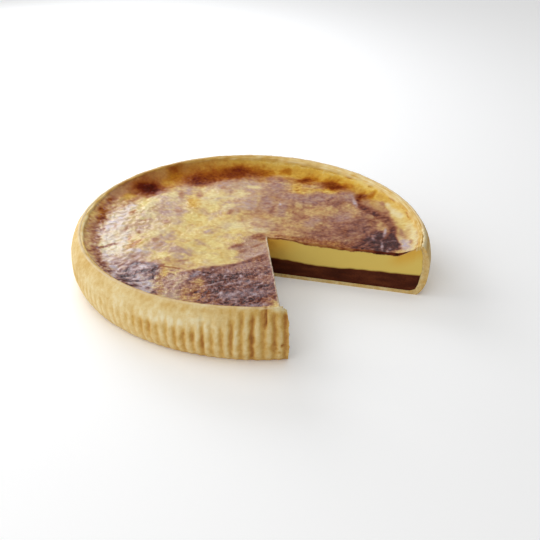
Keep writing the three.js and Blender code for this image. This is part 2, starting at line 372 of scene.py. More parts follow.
def wedge_cut_layer(wall, underside, top, spacings, lift, seed, top_lines=NO_POINTS, skin_depths=()):
    """A closed layer of the tart with the wedge left out.

    wall holds rows of points, from the underside's edge up to the top's, each from far cut to near cut.
    underside and top give heights, spacings the distance between points of the underside, the top and
    the cuts, and lift a place in space for a flat point of a cut. top_lines are further points of the
    top, and skin_depths are the depths below it at which the cuts have rows of points.
    Gives its points, faces, and for each point the sheet that it belongs to.
    """
    rng = np.random.default_rng(seed)
    rows, columns = wall.shape[:2]
    points = [*wall.reshape(-1, 3)]
    sheets = ["wall"] * len(points)
    faces = []

    def add(places, sheet):
        first = len(points)
        points.extend(places)
        sheets.extend([sheet] * len(places))
        return list(range(first, first + len(places)))

    def at_height(flat, height):
        return np.column_stack([flat, height(flat[:, 0], flat[:, 1])])

    for row in range(rows - 1):
        for column in range(columns - 1):
            low = row * columns + column
            faces.append((low, low + 1, low + columns + 1, low + columns))
    low_tip, high_tip = (add(at_height(CUT_TIP[None], height), "cut")[0] for height in (underside, top))
    edges = {}
    for column in (0, columns - 1):
        for row, height in ((0, underside), (rows - 1, top)):
            end = wall[row, column, :2]
            count = max(2, round(np.linalg.norm(end - CUT_TIP) / spacings["cut"]))
            part = np.arange(1, count)[:, None] / count
            edges[row, column] = add(at_height(blend(CUT_TIP, end, part), height), "edge")
    for row, height, tip, sheet in ((0, underside, low_tip, "underside"), (rows - 1, top, high_tip, "top")):
        ring = list(range(row * columns, (row + 1) * columns))
        outline = [tip, *edges[row, 0], *ring, *reversed(edges[row, columns - 1])]
        flat = np.array([points[number][:2] for number in outline])
        loose = scattered(flat, spacings[sheet], rng, top_lines if sheet == "top" else NO_POINTS)
        numbers = outline + add(at_height(loose, height), sheet)
        for face in fill(flat, loose):
            face = [numbers[corner] for corner in face]
            faces.append(face if sheet == "top" else face[::-1])
    for column, sheet in zip((0, columns - 1), CUT_SHEETS):
        side = [row * columns + column for row in range(rows)]
        top_edge = list(reversed(edges[rows - 1, column]))
        outline = [low_tip, *edges[0, column], *side, *top_edge, high_tip]
        corners = np.array([points[number] for number in outline])
        across = np.linalg.norm(corners[:, :2] - CUT_TIP, axis=1)
        flat = np.column_stack([across, corners[:, 2]])
        skin_edge = flat[-1 - len(top_edge):-1]
        skin_rows = [skin_edge - (0, depth) for depth in skin_depths]
        loose = scattered(flat, spacings["cut"], rng, np.vstack([NO_POINTS, *skin_rows]))
        numbers = outline + add(lift(loose, sheet), sheet)
        for face in fill(flat, loose):
            face = [numbers[corner] for corner in face]
            faces.append(face if sheet == "far_cut" else face[::-1])
    return np.array(points), faces, np.array(sheets)


def level(height):
    """A flat sheet at this height."""
    return lambda x, y: height + 0 * x


def make_piece(name, points, faces):
    """A smooth object of this name, with sharp edges where its faces turn a corner."""
    mesh = bpy.data.meshes.new(name)
    mesh.from_pydata((points * MM).tolist(), [], faces)
    mesh.shade_smooth()
    mesh.set_sharp_from_angle(angle=math.radians(52))
    piece = bpy.data.objects.new(name, mesh)
    bpy.context.scene.collection.objects.link(piece)
    return piece


def push_out(piece, amounts):
    """Moves each point of a piece along its normal, out or in."""
    mesh = piece.data
    places = np.empty(len(mesh.vertices) * 3)
    normals = np.empty(len(mesh.vertices) * 3)
    mesh.vertices.foreach_get("co", places)
    mesh.vertex_normals.foreach_get("vector", normals)
    places += normals * np.repeat(amounts * MM, 3)
    mesh.vertices.foreach_set("co", places)
    mesh.update()


def note(piece, name, values):
    """Writes one number on each point of a piece, for its finish to read."""
    piece.data.attributes.new(name, "FLOAT", "POINT").data.foreach_set("value", values.astype(np.float32))


def read(tree, name):
    """The output that gives a finish the numbers noted under this name."""
    return node(tree, "ShaderNodeAttribute", attribute_name=name).outputs["Fac"]


def screen_color(red, green, blue):
    """A colour as it is seen, 0 to 255, turned into the light that a shader works with."""
    parts = [part / 255 for part in (red, green, blue)]
    return (*(part / 12.92 if part <= 0.04045 else ((part + 0.055) / 1.055) ** 2.4 for part in parts), 1)


def color_scale(tree, value, stops):
    """A scale of colours, read at a value. Each stop is a place on it and a seen colour."""
    made = node(tree, "ShaderNodeValToRGB", {0: value})
    scale = made.color_ramp.elements
    while len(scale) < len(stops):
        scale.new(0.5)
    for element, (place, color) in zip(scale, stops):
        element.position = place
        element.color = screen_color(*color)
    return made.outputs["Color"]


def grain(tree, size, detail=3, stretch=(1, 1, 1)):
    """Fine noise with grains of this size, from 0 to 1."""
    place = node(tree, "ShaderNodeTexCoord").outputs["Object"]
    scaled = node(tree, "ShaderNodeMapping", {"Vector": place, "Scale": stretch}).outputs[0]
    inputs = {"Vector": scaled, "Scale": 1 / (size * MM), "Detail": detail, "Roughness": 0.6}
    return node(tree, "ShaderNodeTexNoise", inputs).outputs["Fac"]


def bumpy(tree, height, strength, distance):
    """A finish's surface made rough by a pattern of heights from 0 to 1, this many millimetres high."""
    inputs = {"Height": height, "Strength": strength, "Distance": distance * MM}
    return node(tree, "ShaderNodeBump", inputs).outputs[0]


def mix(tree, part, first, second):
    """The first colour turned into the second one by a part from 0 to 1."""
    return node(tree, "ShaderNodeMixRGB", {0: part, 1: first, 2: second}).outputs[0]


def outside_inset(share):
    """How far in from its fullest radius the case's outside stands, at this share of the rim's height."""
    foot = FOOT_INSET * np.clip(1 - share / FULLEST_SHARE, 0, 1) ** FOOT_CURVE
    rim = RIM_INSET * np.clip((share - FULLEST_SHARE) / (1 - FULLEST_SHARE), 0, 1) ** RIM_CURVE
    return foot + rim


far_angle, near_angle = cut_angles()
flutes = round((near_angle - far_angle) / (2 * math.pi) * FLUTES_ROUND)
flute_number = np.arange(flutes * FLUTE_COLUMNS + 1) / FLUTE_COLUMNS
case_directions = direction_to(far_angle + flute_number * (near_angle - far_angle) / flutes)
case_directions[-1] = NEAR_CUT
facets = len(FLUTE_FACETS) - 1
facet_place = np.interp(flute_number % 1, FLUTE_FACETS, range(facets + 1))
facets_to_cut = facets * (flutes - np.floor(flute_number)) - facet_place
wall_end = np.clip(1 - facets_to_cut / WALL_END_COLUMNS, 0, 1)
crumbled = np.clip(1 - facets_to_cut / CRUMBLED_COLUMNS, 0, 1)
flute_faintness = blend(0.4, 1, smoothstep(flute_number / flutes, 0.8, 0.95))


def groove(share):
    """How deep the flutes' grooves are in each column, at this share of the rim's height."""
    flat = np.column_stack([flute_number * 2.3, np.full(len(flute_number), share * 7)])
    number = np.clip(flute_number + 0.13 * bumps(flat, 1, 31), 0, flutes - 1e-6)
    flute = np.floor(number)
    end = np.where(flute < flutes - TALL_FLUTES, FLUTE_END_SHARE, TALL_FLUTE_END_SHARE)
    end = end * (1 + 0.5 * FLUTE_UNEVENNESS * uneven(flute + FLUTES_ROUND))
    tallness = np.clip((flute - flutes + TALL_FLUTES) / (TALL_FLUTES - 3), 0, 1)
    full = blend(FLUTE_FULL_SHARE - 0.08, TALL_FLUTE_FULL_SHARE, tallness)
    across = np.abs((number - FLUTE_MIDDLE + 0.5) % 1 - 0.5) / FLUTE_HALF_WIDTH
    depth = FLUTE_DEPTH * (1 + FLUTE_UNEVENNESS * uneven(flute))
    depth = depth * np.cos(np.clip(across, 0, 1) * math.pi / 2) ** 2 * flute_faintness
    depth = depth * (FLUTE_SHALLOW_FOOT + (1 - FLUTE_SHALLOW_FOOT) * smoothstep(share, 0, 0.16))
    return depth * (1 - smoothstep(share, full, np.maximum(end, full + 0.08)))


def case_row(radius, share):
    """One row of the wall. The wall turns out of line and loses height as the near cut comes close."""
    turn = wall_end * math.radians(blend(WALL_END_FOOT_TURN, WALL_END_RIM_TURN, share))
    row = side_point(case_directions + turn, radius, share)
    row[:, 2] -= CRUMBLED_DEPTH * crumbled * share**4
    return row


def corner_rows(direction, rounding):
    """The rounded corner inside the case, from the wall down to the base."""
    wall = side_point(direction, INSIDE_RADII[0], INSIDE_SHARES[0])
    middle = side_point(direction, INSIDE_RADII[0] - CORNER_ROUND, INSIDE_SHARES[0])
    rows = []
    for turn in (math.radians(45), math.radians(90)):
        row = middle + (wall - middle) * rounding / CORNER_ROUND * math.cos(turn)
        low = BASE_THICKNESS + CORNER_ROUND - rounding
        row[:, 2] = wall[:, 2] + (low - wall[:, 2]) * math.sin(turn)
        rows.append(row)
    return rows


def case_cut(flat, sheet):
    """Places in space for flat points of the case's cuts. The near cut's wall stands proud."""
    across, z = flat.T
    if sheet == "far_cut":
        direction = np.full(len(flat), FAR_CUT)
    else:
        share = z / RIM_HEIGHT
        inside = np.interp(share, INSIDE_SHARES, INSIDE_RADII) - CORNER_ROUND
        wall_start = reach(np.full(len(flat), NEAR_CUT), INSIDE_RADII[0]) - INSIDE_RADII[0] + inside
        in_wall = np.clip((across - wall_start) / CORNER_ROUND, 0, 1)
        proud = np.maximum(in_wall, np.clip(1 - z / BASE_THICKNESS, 0, 1))
        direction = NEAR_CUT + proud * np.radians(blend(WALL_END_FOOT_TURN, WALL_END_RIM_TURN, share))
    place = CUT_TIP + across[:, None] * heading(direction)
    return np.column_stack([place, z])


wall_shares = np.concatenate([(0, 0.01, 0.03), np.linspace(0.055, 0.965, 36)])
no_groove = np.zeros(len(flute_number))
case_lines = []
for share in wall_shares:
    depth = groove(share)
    foot_rounding = FOOT_ROUNDING["inset"] * math.exp(-share * RIM_HEIGHT / FOOT_ROUNDING["height"])
    row = case_row(CASE_RADIUS - outside_inset(share) - foot_rounding - depth, share)
    case_lines.append((row, share, depth / FLUTE_DEPTH))
for turn in np.radians(CREST_TURNS):
    share = 1 - CREST_DROP * (1 - math.sin(turn)) / RIM_HEIGHT
    row = case_row(CREST_RADIUS + CREST_HALF_WIDTH * math.cos(turn), share)
    case_lines.append((row, share, no_groove))
for share, radius in zip(INSIDE_SHARES[::-1], INSIDE_RADII[::-1]):
    case_lines.append((case_row(radius, share), share, no_groove))
for row in corner_rows(case_directions, CORNER_ROUND):
    case_lines.append((row, 0.1, no_groove))
case_rows, case_shares, case_grooves = zip(*case_lines)

case_points, case_faces, case_sheets = wedge_cut_layer(
    np.array(case_rows),
    level(0),
    level(BASE_THICKNESS),
    {"underside": 9, "top": 9, "cut": 0.75},
    case_cut,
    seed=11,
)
pastry_case = make_piece("pastry_case", case_points, case_faces)

wall_count = len(case_rows) * len(flute_number)
wall_row = np.full(len(case_points), -1)
wall_row[:wall_count] = np.repeat(np.arange(len(case_rows)), len(flute_number))
share_there = np.full(len(case_points), 0.3)
share_there[:wall_count] = np.repeat(case_shares, len(flute_number))
groove_there = np.zeros(len(case_points))
groove_there[:wall_count] = np.concatenate(case_grooves)
angle_there = np.degrees(np.arctan2(case_points[:, 1], case_points[:, 0])) % 360
on_side = wall_row >= 0
on_wall = on_side & (wall_row < len(wall_shares))
on_cut = np.isin(case_sheets, CUT_SHEETS)

# The relief: sandy humps, smears up and down the wall, crumbs where it is cut or broken, crack and pits
shown = np.where(on_side & (wall_row < len(wall_shares) + len(CREST_TURNS)), 1.0, 0.0)
shown[on_cut] = 1
shown[wall_row == 0] = 0.3
smears = bumps(case_points / SMEAR_SIZE, 1, 41)
broken = smoothstep(angle_there, 274.8, 277.5) * smoothstep(share_there, 0.9, 0.98)
aside = np.radians(angle_there - CRACK["angle"]) * CASE_RADIUS + 0.9 * bumps(case_points, 5, 37)
in_crack = smoothstep(share_there, CRACK["from_share"], CRACK["full_share"]) * (shown == 1)
in_crack *= hump(aside, 0, CRACK["half_width"])
in_pit = np.zeros(len(case_points))
for pit in PITS:
    across = np.radians(angle_there - pit["angle"]) * CASE_RADIUS
    upward = (share_there - pit["share"]) * RIM_HEIGHT
    in_pit += hump(np.hypot(across, upward), 0, pit["radius"]) * on_wall
relief = SMEAR_RELIEF * smears + layered(case_points, ((0.24, 10, 42), (0.12, 3.6, 43), (0.07, 1.4, 44)))
relief += np.maximum(on_cut, broken) * layered(case_points, ((0.8, 3.4, 45), (0.5, 1.5, 46)))
relief -= CRACK["depth"] * in_crack + PIT_DEPTH * in_pit
push_out(pastry_case, relief * shown)

# The toasting, and painted light and shade: painted shade darkens the grooves, most at their upper part, and
# the crack and pits, painted light makes the ribs between the grooves paler, and the pastry is darker along
# the very foot, browned under the rim, and paler above the flutes, most of all where finger tips pressed the
# pastry into the tin
near_corner = smoothstep(angle_there, 255, 268)
upper_flute = np.maximum(hump(share_there, 0.47, 0.2), near_corner * smoothstep(share_there, 0.3, 0.47))
ribs = between(share_there, (0.02, 0.14), (0.55, 0.72)) * on_wall * (1 - groove_there)
toast_and_shade = 0.3 - 0.03 * smoothstep(angle_there, 215, 245) + 0.03 * smoothstep(angle_there, 250, 275)
# Painted shade in the grooves, deepest at their upper part, and painted light that makes the ribs between
# them paler
toast_and_shade += groove_there * (0.2 + 0.15 * upper_flute + 0.06 * near_corner) - 0.07 * ribs
toast_and_shade += 0.07 * smoothstep(angle_there, 262, 277) * (1 - smoothstep(share_there, 0.3, 1)) * on_wall
toast_and_shade += 0.05 * between(angle_there, (225, 240), (250, 262)) * on_wall
toast_and_shade -= 0.07 * smoothstep(share_there, 0.6, 0.78) * between(angle_there, (205, 218), (255, 268)) * on_wall
finger_tips = hump(share_there, 0.68, 0.1) * on_wall * (1 - 0.7 * near_corner)
finger_tips *= blend(0.15, 1, smoothstep(angle_there, 222, 246))
smears *= blend(0.35, 1, smoothstep(angle_there, 205, 240))
toast_and_shade -= 0.3 * finger_tips * np.clip(smears * 2 + 0.3, 0, 1) - 0.08 * smears
toast_and_shade += layered(case_points, ((0.1, 21, 47), (0.09, 6, 48), (0.1, 2.6, 49), (0.06, 1.5, 50)))
browned_rim = 0.05 + 0.5 * np.clip(bumps(case_points, 11, 39), 0, 1)
toast_and_shade += hump(share_there, 0.93, 0.06) * (0.02 + smoothstep(angle_there, 225, 262) * browned_rim)
toast_and_shade += 0.22 * np.exp(-case_points[:, 2] / 0.6) * on_side
toast_and_shade = blend(toast_and_shade, 0.06 + 0.25 * bumps(case_points, 2.2, 36), 0.9 * broken)
# Painted shade in the crack and in the pits
toast_and_shade += 0.5 * in_crack + 0.5 * in_pit
note(pastry_case, "toast_and_shade", toast_and_shade)
# The crest is painted pale as a highlight where light catches the rim's top, paler on the left, towards the
# window
crest = smoothstep(share_there, 0.972, 0.995) * on_side * (1 - broken)
paler_towards_window = between(angle_there, (140, 170), (215, 235))
note(pastry_case, "crest", 0.8 * crest * (0.6 + 0.2 * paler_towards_window + 0.5 * bumps(case_points, 7, 38)))

PASTRY_COLORS = (
    (0, (240, 226, 186)),
    (0.2, (231, 206, 148)),
    (0.45, (212, 171, 93)),
    (0.7, (180, 124, 56)),
    (1, (124, 72, 30)),
)
# The colour of the painted highlight on the crest
CREST_HIGHLIGHT_COLOR = (230, 207, 168)

pastry, tree, shader = new_finish("sandy_shortcrust")
sand = math_node(tree, "SUBTRACT", grain(tree, 0.8, detail=4), 0.5)
toast_and_shade_there = math_node(tree, "MULTIPLY_ADD", sand, 0.3, read(tree, "toast_and_shade"))
crust_color = color_scale(tree, toast_and_shade_there, PASTRY_COLORS)
fine = grain(tree, 0.5, detail=4)
rough = math_node(tree, "MULTIPLY_ADD", grain(tree, 2.2, detail=2), 0.6, fine)
connect(tree, shader, {
    "Base Color": mix(tree, read(tree, "crest"), crust_color, screen_color(*CREST_HIGHLIGHT_COLOR)),
    "Normal": bumpy(tree, rough, strength=0.8, distance=0.4),
    "Roughness": math_node(tree, "MULTIPLY_ADD", fine, 0.2, 0.6),
    "Specular IOR Level": 0.2,
})
pastry_case.data.materials.append(pastry)
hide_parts("pastry_crust")
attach(pastry_case, "root")

# The chocolate custard
# Dark, dense custard, poured in first and set with a wavy top. It shows only at the two cuts.

SEAM = 0.05
CHOCOLATE_LEVEL = 14.3
CHOCOLATE_EDGE_RISE = 1.2
CHOCOLATE_SWELLS = (
    {"length": 74, "towards": 30, "height": 0.7, "start": 40},
    {"length": 43, "towards": 118, "height": 0.5, "start": 200},
    {"length": 27, "towards": 72, "height": 0.4, "start": 310},
)
CUSTARD_COLUMNS = 720


def swell_at(swells, x, y):
    total = 0 * x
    for swell in swells:
        way = math.radians(swell["towards"])
        along = x * math.cos(way) + y * math.sin(way)
        wave = np.sin(2 * math.pi * along / swell["length"] + math.radians(swell["start"]))
        total = total + swell["height"] * wave
    return total


def chocolate_height(x, y):
    rise = CHOCOLATE_EDGE_RISE * (np.hypot(x, y) / CASE_RADIUS) ** 3
    ripple = 0.45 * bumps(np.column_stack([x, y]), 7, 51)
    return CHOCOLATE_LEVEL + rise + swell_at(CHOCOLATE_SWELLS, x, y) + ripple


def beside_wall(direction, share):
    """Points of the custards' side, against the wall's inside."""
    return side_point(direction, np.interp(share, INSIDE_SHARES, INSIDE_RADII) - SEAM, share)


def custard_cut(flat, sheet):
    direction = np.full(len(flat), FAR_CUT if sheet == "far_cut" else NEAR_CUT)
    return np.column_stack([CUT_TIP + flat[:, :1] * heading(direction), flat[:, 1]])


custard_directions = direction_to(blend(far_angle, near_angle, np.linspace(0, 1, CUSTARD_COLUMNS + 1)))
custard_directions[-1] = NEAR_CUT
layer_edge = beside_wall(custard_directions, CHOCOLATE_LEVEL / RIM_HEIGHT)
layer_edge[:, 2] = chocolate_height(layer_edge[:, 0], layer_edge[:, 1])
chocolate_rows = corner_rows(custard_directions, CORNER_ROUND - SEAM)[::-1]
chocolate_rows += [beside_wall(custard_directions, INSIDE_SHARES[0]), layer_edge]
chocolate_points, chocolate_faces, chocolate_sheets = wedge_cut_layer(
    np.array(chocolate_rows),
    level(BASE_THICKNESS + SEAM),
    chocolate_height,
    {"underside": 9, "top": 4, "cut": 0.75},
    custard_cut,
    seed=12,
)
chocolate_layer = make_piece("chocolate_layer", chocolate_points, chocolate_faces)
on_cut = np.isin(chocolate_sheets, CUT_SHEETS)
knife_marks = bumps(chocolate_points / (9, 9, 1.6), 1, 52)
push_out(chocolate_layer, on_cut * (0.18 * bumps(chocolate_points, 4, 53) + 0.12 * knife_marks))
note(chocolate_layer, "streak", 0.5 + 0.5 * bumps(chocolate_points / (14, 14, 4), 1, 54))

# The chocolate's own dark brown, darkened further by painted shade on its cut faces
SHADED_CHOCOLATE_COLORS = (
    (0, (54, 17, 3)),
    (0.5, (76, 30, 11)),
    (1, (104, 52, 26)),
)

chocolate, tree, shader = new_finish("set_chocolate_custard")
speck = math_node(tree, "SUBTRACT", grain(tree, 1.1, detail=4), 0.5)
shade = math_node(tree, "MULTIPLY_ADD", speck, 0.9, read(tree, "streak"))
small = grain(tree, 0.7, detail=3)
connect(tree, shader, {
    "Base Color": color_scale(tree, shade, SHADED_CHOCOLATE_COLORS),
    "Normal": bumpy(tree, small, strength=0.35, distance=0.2),
    "Roughness": math_node(tree, "MULTIPLY_ADD", small, 0.25, 0.38),
    "Specular IOR Level": 0.08,
})
chocolate_layer.data.materials.append(chocolate)
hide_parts("chocolate_custard")
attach(chocolate_layer, "root")

# The vanilla custard and its skin
# Yellow custard, poured over the chocolate and baked until its top dried to a glossy, wrinkled skin.
# The skin is pale where it stayed low, brown to black where it rose, and amber where it climbs the wall.

CUSTARD_LEVEL = 32.3
EDGE_BELOW_RIM = 0.3
EDGE_OVER_CREST = 0.35
EDGE_CLIMB_WIDTH = 20
EDGE_CLIMB_CURVE = 2.2
SKIN_SWELLS = (
    {"length": 92, "towards": 20, "height": 0.45, "start": 30},
    {"length": 58, "towards": 105, "height": 0.4, "start": 120},
    {"length": 37, "towards": 62, "height": 0.3, "start": 230},
    {"length": 29, "towards": 150, "height": 0.25, "start": 70},
)

# Round the wall the climbing edge browned unevenly: angle, width, browning, caramel and painted sheen there
EDGE_BAND = (
    (-14, 9, 0.08, 0.35, 0),
    (0, 9, 0.12, 0.45, 0),
    (20, 13, 0.2, 0.75, 0),
    (38, 15, 0.24, 0.9, 0),
    (55, 18, 0.3, 0.95, 0),
    (72, 22, 0.38, 0.9, 0),
    (90, 22, 0.4, 0.85, 0),
    (108, 23, 0.48, 0.78, 0),
    (122, 26, 0.52, 0.66, 0.01),
    (137, 27, 0.5, 0.5, 0.03),
    (150, 25, 0.44, 0.4, 0.08),
    (160, 23, 0.42, 0.34, 0.08),
    (172, 14, 0.42, 0.3, 0.06),
    (182, 16, 0.44, 0.24, 0.06),
    (196, 12.5, 0.38, 0.14, 0.1),
    (207, 8.5, 0.37, 0.12, 0.14),
    (216, 6.5, 0.38, 0.2, 0.14),
    (226, 4, 0.4, 0.5, 0.1),
    (238, 0.5, 0.3, 0.5, 0),
    (274, 0.5, 0.2, 0.6, 0),
)

# The crust's inner edge shows round the skin: angle, width and toasting there. On the left the toasting is
# low:
# painted light that offsets the shadow the rim casts on its inner side
CRUST_EDGE = (
    (-14, 3.2, 0.42),
    (8, 3.8, 0.38),
    (35, 3.8, 0.26),
    (60, 4.6, 0.28),
    (78, 4, 0.36),
    (92, 3.4, 0.4),
    (110, 2, 0.54),
    (130, 1.4, 0.62),
    (150, 1.3, 0.6),
    (168, 2.2, 0.28),
    (185, 2.4, 0.22),
    (200, 1.4, 0.36),
    (215, 0.8, 0.36),
    (240, 0.7, 0.3),
    (276, 0.8, 0.25),
)
